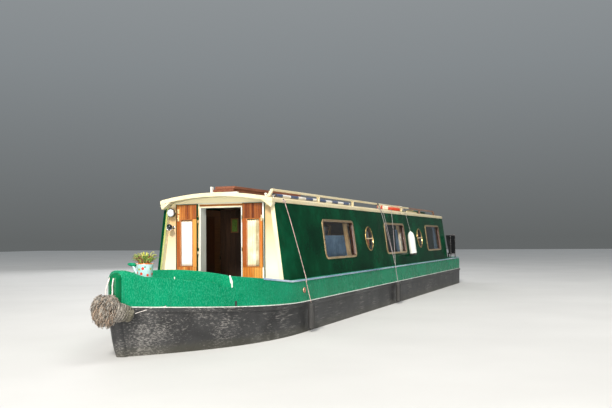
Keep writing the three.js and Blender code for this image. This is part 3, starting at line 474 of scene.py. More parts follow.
def scaled(tree, vector, scale):
    """Coordinates scaled alike on each axis."""
    return node(tree, "ShaderNodeVectorMath", [(0, vector), ("Scale", scale)],
                operation="SCALE").outputs["Vector"]


def noise(tree, vector, scale, detail=4.0, rough=0.55):
    """Fractal noise, from 0 to 1."""
    links = [("Vector", vector), ("Scale", scale), ("Detail", detail), ("Roughness", rough)]
    return node(tree, "ShaderNodeTexNoise", links).outputs["Fac"]


def height_of(tree, where, axis="Z"):
    """One axis of the coordinates."""
    return node(tree, "ShaderNodeSeparateXYZ", [("Vector", where)]).outputs[axis]


def weathering_group():
    """Broad mottling, fine streaks that run down, and sparse specks, each from 0 to 1."""
    group, source, sink = new_group(
        "Weathering", [("Vector", "NodeSocketVector", None), ("Scale", "NodeSocketFloat", 1.0)],
        ["Mottling", "Streaks", "Specks"])
    where = scaled(group, source["Vector"], source["Scale"])
    feed(sink, "Mottling", noise(group, where, 1.4, 6, 0.6))
    feed(sink, "Streaks", noise(group, stretched(group, where, (9, 9, 0.7)), 3.0, 5, 0.65))
    specks = maths(group, "SUBTRACT", noise(group, where, 60.0, 3, 0.6), 0.62)
    feed(sink, "Specks", maths(group, "MULTIPLY", specks, 6.0))
    return group


def scuffs_group():
    """Scratches that run along the hull, in patches: thresholded noise drawn out along X."""
    group, source, sink = new_group(
        "Scuffs", [("Vector", "NodeSocketVector", None), ("Amount", "NodeSocketFloat", 0.5)],
        ["Scuff", "Height"])
    lines = noise(group, stretched(group, source["Vector"], (1.6, 22, 34)), 2.2, 8, 0.72)
    patches = noise(group, source["Vector"], 1.7, 4, 0.6)
    level = maths(group, "ADD", lines, maths(group, "MULTIPLY", patches, 0.55))
    limit = maths(group, "SUBTRACT", 1.06, maths(group, "MULTIPLY", source["Amount"], 0.4))
    feed(sink, "Scuff", maths(group, "MULTIPLY", maths(group, "SUBTRACT", level, limit), 7.0, clamped=True))
    feed(sink, "Height", lines)
    return group


def grain_group():
    """Timber grain: noise drawn out along the board, bent by slow noise, shifted by the board's shade."""
    group, source, sink = new_group(
        "Timber grain", [("Vector", "NodeSocketVector", None), ("Shade", "NodeSocketFloat", 0.0)],
        ["Figure", "Pores"])
    step = maths(group, "MULTIPLY", source["Shade"], 7.3)
    shift = node(group, "ShaderNodeCombineXYZ", [(axis, step) for axis in "XYZ"]).outputs[0]
    where = node(group, "ShaderNodeVectorMath", [(0, source["Vector"]), (1, shift)],
                 operation="ADD").outputs[0]
    feed(sink, "Figure", noise(group, where, 5.0, 8, 0.66))
    feed(sink, "Pores", noise(group, where, 38.0, 4, 0.7))
    return group


WEATHERING = weathering_group()
SCUFFS = scuffs_group()
GRAIN = grain_group()


def placed(tree, group, links):
    """One of the groups in a material, with its own values; gives its outputs."""
    return node(tree, "ShaderNodeGroup", links, node_tree=group).outputs


def weathered(tree, where, scale):
    """The weathering group at one scale."""
    return placed(tree, WEATHERING, [("Vector", where), ("Scale", scale)])


def start(name, colour, roughness, metallic=0.0, coat=0.0, coat_roughness=0.05):
    """A new finish with its plain values on the shader; gives its tree, shader and object coordinates."""
    finish = bpy.data.materials.new(name)
    finish.use_nodes = True
    tree = finish.node_tree
    shader = tree.nodes["Principled BSDF"]
    for label, value in (("Base Color", colour), ("Roughness", roughness), ("Metallic", metallic),
                         ("Coat Weight", coat), ("Coat Roughness", coat_roughness)):
        feed(shader, label, value)
    return finish, tree, shader, tree.nodes.new("ShaderNodeTexCoord").outputs["Object"]


def relief(tree, shader, height, strength, distance):
    """A surface's small heights, as a bump."""
    links = [("Height", height), ("Strength", strength), ("Distance", distance)]
    feed(shader, "Normal", node(tree, "ShaderNodeBump", links).outputs["Normal"])


def paint(name, colour, dark, light, roughness=0.3, coat=0.6, dirt=(0.12, 0.10, 0.07), dirt_amount=0.25,
          pebble_glint=None, specular=0.5):
    """Brushed enamel: slow colour change, streaks, specks of dirt, and paler grains on a pebbled skin that are
    painted glints of its bumps.
    """
    finish, tree, shader, where = start(name, colour, roughness, coat=coat)
    feed(shader, "Specular IOR Level", specular)
    worn = weathered(tree, where, 1.0)
    base = ramp(tree, worn["Mottling"], [(0.3, dark), (0.5, colour), (0.72, light)])
    # Paler grains: painted glints where the pebbled skin catches the light; the bump below is real relief.
    if pebble_glint:
        grain = noise(tree, stretched(tree, where, (1, 1, 0.55)), 88.0, 3, 0.7)
        base = blended(tree, ramp(tree, grain, [(0.46, 0.0), (0.72, 0.6)]), base, pebble_glint)
        relief(tree, shader, noise(tree, stretched(tree, where, (1, 1, 0.45)), 62.0, 4, 0.6), 1.0, 0.010)
    else:
        relief(tree, shader, noise(tree, where, 26.0, 4, 0.6), 0.12, 0.003)
    streak = ramp(tree, worn["Streaks"], [(0.45, 0.0), (0.75, dirt_amount)])
    speck = maths(tree, "MULTIPLY", worn["Specks"], dirt_amount, clamped=True)
    feed(shader, "Base Color", blended(tree, speck, blended(tree, streak, base, dirt), dirt))
    feed(shader, "Roughness", ramp(tree, worn["Mottling"],
                                   [(0.3, roughness * 0.8), (0.7, roughness * 1.35)]))
    return finish


def height_lit_enamel(name, low_colour, high_colour, crown, low, high, roughness=0.4):
    """Enamel whose colour changes by height, from one at its foot to another, and a third at its head: painted
    light and shade, pale where the light falls low down, tan where the roof's lip shades it, and lit again at
    the head.
    """
    finish, tree, shader, where = start(name, low_colour, roughness, coat=0.15)
    worn = weathered(tree, where, 1.4)
    share = maths(tree, "DIVIDE", maths(tree, "SUBTRACT", height_of(tree, where), low), high - low)
    share = maths(tree, "ADD", share, maths(tree, "MULTIPLY", worn["Mottling"], 0.12))
    stops = [(0.22, low_colour), (0.62, high_colour), (0.76, high_colour), (0.79, crown)]
    feed(shader, "Base Color", ramp(tree, share, stops))
    relief(tree, shader, noise(tree, where, 26.0, 4, 0.6), 0.12, 0.003)
    return finish


def banded(name, first, second, pitch):
    """Enamel in two colours that change by turns along the piece."""
    finish, tree, shader, where = start(name, first, 0.4, coat=0.2)
    share = maths(tree, "FRACT", maths(tree, "DIVIDE", height_of(tree, where, "X"), pitch))
    worn = weathered(tree, where, 3.0)
    colour = blended(tree, maths(tree, "GREATER_THAN", share, 0.5), first, second)
    rubbed = ramp(tree, worn["Mottling"], [(0.55, 0.0), (0.75, 0.6)])
    feed(shader, "Base Color", blended(tree, rubbed, colour, (0.30, 0.22, 0.16)))
    relief(tree, shader, worn["Mottling"], 0.2, 0.002)
    return finish


def bitumen():
    """Blacking: rough black, scuffed to grey along the side, and a pale dried line of weed at the water."""
    finish, tree, shader, where = start("Scuffed blacking", (0.016, 0.016, 0.018), 0.62)
    scuffs = placed(tree, SCUFFS, [("Vector", where), ("Amount", 0.62)])
    worn = weathered(tree, where, 2.0)
    base = ramp(tree, worn["Mottling"], [(0.3, (0.010, 0.010, 0.011)), (0.7, (0.045, 0.045, 0.047))])
    scuffed = blended(tree, scuffs["Scuff"], base, (0.23, 0.22, 0.21))
    wavy = maths(tree, "ADD", height_of(tree, where), maths(tree, "MULTIPLY", worn["Streaks"], 0.06))
    over_water = maths(tree, "MULTIPLY", maths(tree, "SUBTRACT", wavy, WATERLINE_Z), 5.0)
    weed = ramp(tree, over_water, [(0.0, 1.0), (0.45, 0.6), (0.75, 0.0)])
    feed(shader, "Base Color", blended(tree, maths(tree, "MULTIPLY", weed, 0.35), scuffed,
                                       (0.10, 0.095, 0.06)))
    feed(shader, "Roughness", ramp(tree, scuffs["Scuff"], [(0.0, 0.5), (1.0, 0.8)]))
    relief(tree, shader, scuffs["Height"], 0.5, 0.006)
    return finish


def timber(name, dark, middle, light, along, roughness=0.35, coat=0.5, relief_depth=0.002):
    """Wood with its grain along one axis; each board's shade shifts and tints it."""
    finish, tree, shader, where = start(name, middle, roughness, coat=coat, coat_roughness=0.12)
    drawn = stretched(tree, where, {"x": (0.5, 9, 9), "y": (9, 0.5, 9), "z": (9, 9, 0.5)}[along])
    shade = node(tree, "ShaderNodeAttribute", attribute_name="shade").outputs["Fac"]
    grain = placed(tree, GRAIN, [("Vector", drawn), ("Shade", shade)])
    tint = maths(tree, "ADD", maths(tree, "MULTIPLY", grain["Figure"], 0.8),
                 maths(tree, "MULTIPLY", shade, 0.24))
    figure = ramp(tree, tint, [(0.28, dark), (0.5, middle), (0.72, light)])
    pores = ramp(tree, grain["Pores"], [(0.3, 0.45), (0.55, 1.0)])
    feed(shader, "Base Color", blended(tree, 0.5, figure, pores, "MULTIPLY"))
    feed(shader, "Roughness", ramp(tree, grain["Pores"], [(0.3, roughness * 1.4), (0.6, roughness * 0.9)]))
    relief(tree, shader, grain["Pores"], 0.4, relief_depth)
    return finish


def metal(name, colour, roughness, tarnish, tarnish_amount=0.4, scale=6.0):
    """Cast or plated metal with tarnish in patches."""
    finish, tree, shader, where = start(name, colour, roughness, metallic=1.0)
    worn = weathered(tree, where, scale)
    patches = ramp(tree, worn["Mottling"], [(0.42, 0.0), (0.7, tarnish_amount)])
    feed(shader, "Base Color", blended(tree, patches, colour, tarnish))
    feed(shader, "Roughness", ramp(tree, worn["Mottling"],
                                   [(0.35, roughness * 0.7), (0.7, roughness * 1.7)]))
    relief(tree, shader, worn["Streaks"], 0.08, 0.001)
    return finish


def window_glass():
    """Clear glass with a film of dust; the dust only dulls it."""
    finish, tree, shader, where = start("Window glass", (0.86, 0.9, 0.9), 0.02)
    feed(shader, "Transmission Weight", 1.0)
    feed(shader, "IOR", 1.14)
    feed(shader, "Roughness", ramp(tree, weathered(tree, where, 3.0)["Streaks"],
                                   [(0.4, 0.01), (0.8, 0.09)]))
    return finish


def cloth(name, dark, middle, light, sheen=0.25, specular=0.5):
    """Woven cloth: two crossed waves for the threads, and slow noise for the washing."""
    finish, tree, shader, where = start(name, middle, 0.9)
    feed(shader, "Sheen Weight", sheen)
    feed(shader, "Specular IOR Level", specular)
    worn = weathered(tree, where, 4.0)
    feed(shader, "Base Color", ramp(tree, worn["Mottling"], [(0.3, dark), (0.5, middle), (0.7, light)]))
    threads = [("Vector", where), ("Scale", WEAVE / 6.28), ("Distortion", 0.4)]
    warp, weft = [node(tree, "ShaderNodeTexWave", threads,
                       bands_direction=way).outputs["Fac"] for way in "XZ"]
    relief(tree, shader, maths(tree, "ADD", warp, weft), 0.3, 0.0006)
    return finish


def fibre(name, dark, middle, light, scale=30.0, roughness=0.95):
    """Rope and coir: close noise over the strands' own shape."""
    finish, tree, shader, where = start(name, middle, roughness)
    feed(shader, "Sheen Weight", 0.2)
    shade = node(tree, "ShaderNodeAttribute", attribute_name="shade").outputs["Fac"]
    mixed = maths(tree, "ADD", noise(tree, where, scale, 6, 0.7), maths(tree, "MULTIPLY", shade, 0.3))
    feed(shader, "Base Color", ramp(tree, mixed, [(0.35, dark), (0.58, middle), (0.85, light)]))
    relief(tree, shader, noise(tree, where, scale * 9, 3, 0.7), 0.6, 0.002)
    return finish


HULL_GREEN = paint("Hull green enamel", (0.0006, 0.23, 0.105), (0.0005, 0.175, 0.075), (0.001, 0.29, 0.142),
                   roughness=0.26, coat=0.02, dirt=(0.015, 0.09, 0.055), dirt_amount=0.25,
                   pebble_glint=(0.06, 0.44, 0.27), specular=0.05)
# Darker, smoother green for the stem bar: painted shade on the nose, whose face turns away from the light.
STEM_GREEN_SHADED = paint("Stem green enamel with painted shade", (0.0004, 0.125, 0.045), (0.0003, 0.09, 0.03), (0.001, 0.17, 0.07),
                   roughness=0.2, coat=0.05, dirt=(0.01, 0.06, 0.03), dirt_amount=0.2, specular=0.12)
# Cabin green: a darker paint than the hull's, darkened further as painted shade over the cabin side; the same
# colour serves the hatch, rear bulkhead and door leaves.
CABIN_GREEN_SHADED = paint("Cabin green enamel with painted shade", (0.0003, 0.046, 0.017), (0.0002, 0.024, 0.009),
                    (0.001, 0.10, 0.040),
                    roughness=0.20, coat=0.0, dirt=(0.004, 0.025, 0.012), dirt_amount=0.12, specular=0.035)
BLACKING = bitumen()
CREAM = paint("Cream enamel", (0.84, 0.72, 0.46), (0.78, 0.63, 0.36), (0.88, 0.80, 0.58), roughness=0.38,
              coat=0.25,
              dirt=(0.42, 0.31, 0.16), dirt_amount=0.16)
WHITE = paint("White enamel", (0.86, 0.86, 0.82), (0.80, 0.79, 0.73), (0.9, 0.9, 0.88), roughness=0.4,
              coat=0.2,
              dirt=(0.4, 0.36, 0.28), dirt_amount=0.2)
BLACK = paint("Black enamel", (0.014, 0.015, 0.017), (0.010, 0.010, 0.011), (0.03, 0.03, 0.033),
              roughness=0.35,
              coat=0.3, dirt=(0.10, 0.09, 0.07), dirt_amount=0.3)
RED = paint("Lifebuoy red", (0.70, 0.055, 0.02), (0.58, 0.04, 0.015), (0.78, 0.09, 0.03), roughness=0.45,
            coat=0.1,
            dirt=(0.25, 0.08, 0.04), dirt_amount=0.3)
ENGINE_PAINT = paint("Engine paint", (0.09, 0.14, 0.17), (0.06, 0.10, 0.12), (0.12, 0.18, 0.22),
                     roughness=0.5,
                     coat=0.1, dirt=(0.03, 0.025, 0.02), dirt_amount=0.5)
VARNISH = timber("Varnished boards", (0.30, 0.085, 0.015), (0.52, 0.185, 0.035), (0.68, 0.30, 0.07), "z",
                 roughness=0.25, coat=0.7)
PANELLING = timber("Inside panelling", (0.16, 0.06, 0.02), (0.25, 0.105, 0.035), (0.34, 0.16, 0.06), "x",
                   roughness=0.4, coat=0.3)
FLOORBOARDS = timber("Cabin floorboards", (0.17, 0.09, 0.04), (0.28, 0.16, 0.075), (0.36, 0.22, 0.11), "x",
                     roughness=0.5, coat=0.2)
ROOF_TIMBER = timber("Weathered planks", (0.07, 0.014, 0.006), (0.15, 0.040, 0.017), (0.27, 0.095, 0.048),
                     "x",
                     roughness=0.6, coat=0.0, relief_depth=0.004)
# Brown timber for the plain pole, and the painted shade on the handrails' rear half.
BROWN_TIMBER_AND_RAIL_SHADE = timber("Brown timber and rail painted shade", (0.20, 0.105, 0.075), (0.36, 0.215, 0.165), (0.50, 0.34, 0.27),
                     "x",
                     roughness=0.65, coat=0.0, relief_depth=0.003)
BANDED = banded("Banded pole paint", (0.84, 0.85, 0.86), (0.03, 0.075, 0.22), 0.55)
BRASS = metal("Brass", (0.68, 0.45, 0.17), 0.26, (0.30, 0.17, 0.07))
GOLD_FRAME = metal("Bronzed window frames", (0.56, 0.40, 0.22), 0.34, (0.33, 0.23, 0.13), 0.5)
CHROME = metal("Chrome", (0.80, 0.81, 0.83), 0.08, (0.5, 0.5, 0.5), 0.2)
COPPER = metal("Outlet copper", (0.62, 0.33, 0.24), 0.4, (0.30, 0.13, 0.08), 0.6)
BRONZE = metal("Propeller bronze", (0.48, 0.30, 0.12), 0.36, (0.16, 0.17, 0.10), 0.7)
GLASS = window_glass()
ROPE = fibre("Laid rope", (0.22, 0.15, 0.10), (0.42, 0.31, 0.22), (0.62, 0.49, 0.37))
COIR = fibre("Coir fender", (0.014, 0.012, 0.010), (0.085, 0.074, 0.062), (0.36, 0.33, 0.29), scale=30.0)
COIR_WARM = fibre("Fresh coir", (0.04, 0.025, 0.015), (0.16, 0.108, 0.072), (0.40, 0.30, 0.225), scale=30.0)
NET_CURTAIN = cloth("Net curtain", (0.80, 0.77, 0.68), (0.90, 0.88, 0.81), (0.95, 0.94, 0.9))
GOLD_CURTAIN = cloth("Gold curtain", (0.66, 0.36, 0.14), (0.80, 0.50, 0.24), (0.90, 0.66, 0.38))
BLUE_CURTAIN = cloth("Blue curtain", (0.07, 0.13, 0.22), (0.12, 0.20, 0.31), (0.19, 0.29, 0.40))
ORANGE_CURTAIN = cloth("Orange curtain", (0.62, 0.13, 0.02), (0.78, 0.20, 0.04), (0.86, 0.30, 0.08))
CREAM_CURTAIN = cloth("Cream curtain", (0.72, 0.54, 0.30), (0.86, 0.74, 0.52), (0.93, 0.86, 0.70))
# Tan cloth laid over part of the port door's curtain: a painted shadow.
TAN_CURTAIN_SHADOW = cloth("Tan curtain painted shadow", (0.30, 0.235, 0.12), (0.46, 0.38, 0.22), (0.72, 0.66, 0.48))
DARK_CURTAIN = cloth("Dark curtain", (0.015, 0.014, 0.013), (0.035, 0.032, 0.03), (0.07, 0.062, 0.055))
SCREEN_CLOTH = cloth("Screen cloth", (0.006, 0.007, 0.008), (0.011, 0.012, 0.013), (0.020, 0.022, 0.024),
                     sheen=0.0,
                     specular=0.05)
VARNISH_DEEP = timber("Deep varnished boards", (0.075, 0.014, 0.003), (0.17, 0.038, 0.008),
                      (0.31, 0.09, 0.02), "z",
                      roughness=0.22, coat=0.7)
VARNISH_BRIGHT = timber("Bright varnished rails", (0.36, 0.085, 0.010), (0.64, 0.20, 0.030),
                        (0.80, 0.38, 0.085), "z",
                        roughness=0.25, coat=0.6)
VARNISH_LONG = timber("Varnished grip", (0.30, 0.085, 0.015), (0.52, 0.185, 0.035), (0.68, 0.30, 0.07), "x",
                      roughness=0.25, coat=0.7)
VARNISH_MID = timber("Door head boards", (0.15, 0.032, 0.007), (0.36, 0.10, 0.020), (0.58, 0.22, 0.045),
                     "z",
                     roughness=0.22, coat=0.7)
SHADED_BOARDS = timber("Shaded boards", (0.045, 0.013, 0.004), (0.085, 0.026, 0.009), (0.14, 0.05, 0.018),
                       "z",
                       roughness=0.4, coat=0.2)
DARK_BOARDS = timber("Dark panelling", (0.020, 0.009, 0.005), (0.042, 0.02, 0.010), (0.08, 0.038, 0.018),
                     "z",
                     roughness=0.5, coat=0.1)
# The bulkhead's colour by height is painted light and shade: pale below, shaded tan above, lit at the header.
BULKHEAD_CREAM_LIT_AND_SHADED = height_lit_enamel("Bulkhead enamel with painted light and shade", (0.90, 0.83, 0.68), (0.66, 0.45, 0.23), (1.0, 0.90, 0.62), 1.15,
                       2.60)
CORNER_CREAM = paint("Corner strip enamel", (0.86, 0.76, 0.50), (0.78, 0.66, 0.36), (0.9, 0.84, 0.62),
                     roughness=0.4)
# The starboard copy of the cream corner strip, tinted yellow-green: painted shade.
CORNER_CREAM_SHADED = paint("Corner strip painted shade", (0.42, 0.48, 0.13), (0.30, 0.38, 0.08), (0.62, 0.66, 0.30),
                    roughness=0.4)
# Pale blue-white for the gunwale's edge: a painted reflection of the sky.
GUNWALE_SKY_REFLECTION = paint("Gunwale painted sky reflection", (0.27, 0.40, 0.58), (0.10, 0.20, 0.38), (0.72, 0.82, 0.93), roughness=0.2,
                 coat=0.6,
                 dirt=(0.2, 0.25, 0.3), dirt_amount=0.3)
DULL_CHROME = metal("Dulled chrome", (0.24, 0.25, 0.27), 0.22, (0.08, 0.08, 0.08), 0.6, 20.0)
PALE_BRASS = metal("Worn brass", (0.95, 0.80, 0.50), 0.38, (0.55, 0.36, 0.14), 0.3, 14.0)
CREAM_BOARDS = timber("Cream painted boards", (0.66, 0.56, 0.38), (0.76, 0.67, 0.48), (0.84, 0.77, 0.60),
                      "x",
                      roughness=0.5, coat=0.1)
# An opaque pale blue-white lens: a painted reflection of the sky in the glass.
LAMP_LENS_REFLECTION = paint("Lamp lens painted reflection", (0.70, 0.79, 0.90), (0.55, 0.66, 0.80), (0.85, 0.91, 0.97), roughness=0.10,
                   coat=1.0,
                   dirt_amount=0.05)
RUBBER = paint("Black rubber", (0.020, 0.020, 0.022), (0.012, 0.012, 0.013), (0.045, 0.045, 0.045),
               roughness=0.6,
               coat=0.0, dirt=(0.12, 0.11, 0.09), dirt_amount=0.4)
# Near-black core under the fender's strands: painted shade in the gaps between them.
COIR_GAP_SHADE = fibre("Coir core painted shade", (0.012, 0.010, 0.007), (0.03, 0.024, 0.017), (0.07, 0.055, 0.038),
                  scale=22.0)
COIR_GREEN = fibre("Weathered coir", (0.020, 0.018, 0.011), (0.072, 0.066, 0.045), (0.19, 0.175, 0.13),
                   scale=34.0)
PALE_ROPE = fibre("Pale rope", (0.60, 0.53, 0.49), (0.80, 0.75, 0.72), (0.92, 0.90, 0.88))
PINK_ROPE = fibre("Faded line", (0.34, 0.24, 0.21), (0.55, 0.43, 0.39), (0.74, 0.64, 0.60))
GREY_ROPE = fibre("Grey rope", (0.20, 0.18, 0.19), (0.36, 0.33, 0.33), (0.56, 0.53, 0.52))
DARK_LINE = fibre("Dark line", (0.02, 0.02, 0.02), (0.04, 0.04, 0.042), (0.08, 0.08, 0.08))
CAN_ENAMEL = paint("Can enamel", (0.58, 0.80, 0.80), (0.34, 0.66, 0.70), (0.90, 0.93, 0.90), roughness=0.22,
                   coat=0.7,
                   dirt_amount=0.1)
ORANGE_ENAMEL = paint("Orange enamel", (0.80, 0.22, 0.04), (0.65, 0.14, 0.03), (0.90, 0.36, 0.08),
                      roughness=0.3)
LEAF_GREEN = fibre("Green leaves", (0.06, 0.14, 0.015), (0.14, 0.27, 0.03), (0.28, 0.42, 0.07),
                   roughness=0.6)
LEAF_YELLOW = fibre("Yellow leaves", (0.22, 0.25, 0.03), (0.46, 0.48, 0.07), (0.74, 0.74, 0.22),
                    roughness=0.6)
LEAF_RUSSET = fibre("Russet leaves", (0.09, 0.025, 0.012), (0.22, 0.06, 0.025), (0.42, 0.14, 0.04),
                    roughness=0.6)
SOIL = fibre("Soil", (0.015, 0.010, 0.006), (0.035, 0.024, 0.015), (0.07, 0.05, 0.03))
# Pale paint on the strake's upper edge: a painted highlight where the light catches its top.
STRAKE_HIGHLIGHT = paint("Strake top painted highlight", (0.72, 0.73, 0.70), (0.60, 0.61, 0.58), (0.8, 0.8, 0.78), roughness=0.5,
                    coat=0.1,
                    dirt=(0.1, 0.1, 0.09), dirt_amount=0.8)
HULL_FINISHES = [BLACKING, HULL_GREEN, STRAKE_HIGHLIGHT]


# Hull formulas

def stem_x(z):
    """The stem runs straight down, then rakes aft by a power of the depth."""
    below = np.clip((STEM_STRAIGHT_Z - z) / (STEM_STRAIGHT_Z - BASE_Z), 0, None)
    return STEM_X - STEM_RAKE * below ** 1.9


def full_breadth(z):
    """Half breadth amidships: the side leans out evenly from the base, and stands upright near the top."""
    return HALF_BASE + (HALF_BEAM - HALF_BASE) * np.clip((z - BASE_Z) / 0.9, 0, 1)


def side_point(aft, z):
    """Half breadth is the full breadth less a power of the distance still to run to the parallel part."""
    stem = stem_x(z)
    share = np.clip(aft / BOW_LENGTH, 0, 1)
    x = np.where(aft > BOW_LENGTH, STEM_X - aft, stem - share * (stem - (STEM_X - BOW_LENGTH)))
    return x, full_breadth(z) * (1 - (1 - share) ** BOW_FULLNESS)


def breadth_at(x, z):
    """Half breadth at a place: the same power of the distance that side_point has."""
    share = np.clip((stem_x(z) - x) / (stem_x(z) - (STEM_X - BOW_LENGTH)), 0, 1)
    return full_breadth(z) * (1 - (1 - share) ** BOW_FULLNESS)


def strake_z(x):
    """The strake line is level, and rises towards the stem by a power of the distance."""
    share = np.clip((x - (STEM_X - STRAKE_RISE_LENGTH)) / STRAKE_RISE_LENGTH, 0, None)
    return GUNWALE_Z - STRAKE_DROP + STRAKE_RISE * share ** 1.6


def edge_round(aft):
    """Depth of the side's rounded top edge: 6 mm, growing to a full dome over the last 0.3 m."""
    return 0.006 + 0.055 * np.clip(1 - (np.clip((np.asarray(aft) - NOSE) / 0.24, 0, 1)) ** 2.4, 0, 1)


def section_levels(foot, strake, top, lip=0.006, reach=0.006, rows=7, steps=4):
    """Heights of one station's outer profile and how far each stands out, from its foot to its top edge.

    The strake is a bar with rounded edges; the top edge is a quarter ellipse, as deep as the lip and as
    wide as the reach.
    """
    a = np.linspace(-math.pi / 2, math.pi / 2, 9)
    below = np.linspace(0, 1, rows)[:, None] * (strake - STRAKE_FOOT - foot) + foot
    bead = strake - STRAKE_MIDDLE + STRAKE_HALF * np.sin(a)[:, None]
    bead_out = np.broadcast_to(STRAKE_OUT * np.cos(a)[:, None] ** 0.6, (9, foot.size))
    above = np.linspace(0.02, 1, 5)[:, None] * (top - lip - strake - 0.016) + strake + 0.016
    b = np.linspace(0, math.pi / 2, steps)
    edge = top - lip + lip * np.sin(b)[:, None]
    edge_out = np.broadcast_to(-reach * (1 - np.cos(b))[:, None], (steps, foot.size))
    z = np.concatenate([below, bead, above, edge])
    out = np.concatenate([np.zeros_like(below), bead_out, np.zeros_like(above), edge_out])
    return z, out


# Bow's top edge: distance aft of the stem, height over the gunwale line
SHEER = np.array([
    (0.072, 0.196), (0.105, 0.214), (0.140, 0.218), (0.170, 0.208), (0.200, 0.192), (0.240, 0.168),
                  (0.280, 0.146),
    (0.284, 0.144), (0.420, 0.126), (0.680, 0.087), (0.955, 0.045), (0.963, 0.002), (1.125, -0.015),
    (1.133, 0.116), (1.500, 0.078), (1.900, 0.036), (2.233, 0.000), (2.600, 0.000), (11.75, 0.000)])
SHEER_STATIONS = np.unique(np.concatenate([SHEER[:, 0], np.arange(0.32, 2.6, 0.06),
                                           np.linspace(2.6, 11.75, 24)]))
UNDER_CABIN_Y = CABIN_FOOT_Y - CABIN_WALL - 0.005


def by_height(points, faces):
    """Black below the strake and green above, by the height of each face's middle."""
    return np.array([0 if points[face, 2].mean() < GUNWALE_Z - STRAKE_DROP else 1 for face in faces])


def row_finishes(points, faces, outer, line):
    """Finish of each face: black up to the row where the strake's painted highlight starts, two rows of it,
    then green.
    """
    rows, columns = outer.shape[0] - 1, outer.shape[1] - 1
    row = np.arange(rows)
    paint_of = np.where(row < line, 0, np.where(row < line + 2, 2, 1))
    return np.concatenate([np.repeat(paint_of, columns), by_height(points, faces[rows * columns:])])


def hull_side(side, sign):
    """Side plate: sections at stations from the stem aft, black below the strake and green above."""
    aft = SHEER_STATIONS
    top = GUNWALE_Z + np.interp(aft, SHEER[:, 0], SHEER[:, 1])
    lip = edge_round(aft)
    reach = np.minimum(lip * (1 + 9 * np.clip(aft - NOSE, 0, 0.2)), side_point(aft, top)[1] - 0.004)
    z, out = section_levels(np.full(aft.size, BASE_Z + SEAT), strake_z(STEM_X - aft), top, lip, reach,
                            steps=8)
    x, y = side_point(aft[None], z)
    outer = np.stack([x, y + out, z], -1)
    edge_x, edge_y = side_point(aft, top)
    shelf_y = np.where(aft < 0.282, 0.0003, np.where(aft < 2.235, edge_y - CAPPING, UNDER_CABIN_Y))
    shelf_in = (edge_y - reach) * 0.35 + shelf_y * 0.65
    shelf = np.stack([np.stack([edge_x, w, top], -1) for w in (shelf_in, shelf_y)])
    outer = np.concatenate([outer, shelf])
    under = top - SHELF_STEEL
    inner = np.stack([x, np.maximum(y - SIDE_WALL, y / 3), np.minimum(z, under)], -1)
    inner_shelf = np.stack([np.stack([edge_x, w, under], -1) for w in (shelf_in, shelf_y)])
    inner = np.concatenate([inner, inner_shelf])
    points, faces = shell(outer, inner)
    which = row_finishes(points, faces, outer, 13)
    make(f"hull_skin_{side}", on_side((points, faces), sign), HULL_FINISHES, "hull_green",
         replaces=f"hull_side_{side}", which=which, crease=32)


def stem():
    """The nose: half ellipses between the sides, one above another, drawn in to a dome."""
    top = GUNWALE_Z + SHEER[0, 1]
    lip = float(edge_round(SHEER[0, 0]))
    t = np.linspace(0, math.pi / 2, 7)
    bead = np.linspace(-math.pi / 2, math.pi / 2, 9)
    z = np.concatenate([np.linspace(BASE_Z + SEAT, strake_z(STEM_X) - STRAKE_FOOT, 8),
                        strake_z(STEM_X) - STRAKE_MIDDLE + STRAKE_HALF * np.sin(bead),
                        np.linspace(strake_z(STEM_X) + 0.02, top - lip - 0.02, 6),
                        top - lip + lip * np.sin(t)])
    out = np.zeros(len(z))
    out[8:17] = STRAKE_OUT * np.cos(bead) ** 0.6
    x, y = side_point(np.float64(SHEER[0, 0]), z)
    scale = np.ones(len(z))
    scale[-7:] = 1 - lip / y[-7:] * (1 - np.cos(t))
    depth = (stem_x(z) - x) * scale
    a = np.linspace(-math.pi / 2, math.pi / 2, 17)[None]
    outer = np.stack([x[:, None] + (depth + out)[:, None] * np.cos(a),
                      (y * scale + out)[:, None] * np.sin(a),
                      np.broadcast_to(z[:, None], (len(z), 17))], -1)
    inner = outer.copy()
    inner[..., 0] = x[:, None]
    inner[..., 1] *= 0.9
    outer[..., 2] -= 0.36 * (outer[..., 0] - x[:, None]) * np.clip((outer[..., 2] - 1.28) / 0.12, 0, 1)
    points, faces = shell(outer, inner)
    # The stem bar takes the darker green: painted shade on the nose.
    make("stem_bar", (points, faces), [BLACKING, STEM_GREEN_SHADED, STRAKE_HIGHLIGHT], "hull_green",
         replaces="stem_post",
         which=row_finishes(points, faces, outer, 14), crease=40)


def counter_plan(steps=56):
    """Half plan of the counter from the swim's start round the stern: a squared-off oval."""
    a = np.linspace(0, math.pi, steps + 1)
    c, s = np.cos(a), np.clip(np.sin(a), 0, 1)
    x = STERN_X + STERN_ROUND * (1 - s ** 0.75)
    y = HALF_BEAM * np.sign(c) * np.abs(c) ** 0.62
    run = np.array([SWIM_START_X - 0.0003, CABIN_REAR_X, CABIN_REAR_X - 0.012, -5.9])
    port = np.column_stack([run, np.full(4, HALF_BEAM)])
    return np.concatenate([port, np.column_stack([x, y]), (port * [1, -1])[::-1]])


def moved_in(plan, distance):
    """The plan shifted inwards along its normals."""
    ahead = np.empty_like(plan)
    ahead[1:-1] = plan[2:] - plan[:-2]
    ahead[0], ahead[-1] = plan[1] - plan[0], plan[-1] - plan[-2]
    ahead /= np.linalg.norm(ahead, axis=1, keepdims=True)
    return plan + np.column_stack([-ahead[:, 1], ahead[:, 0]]) * distance


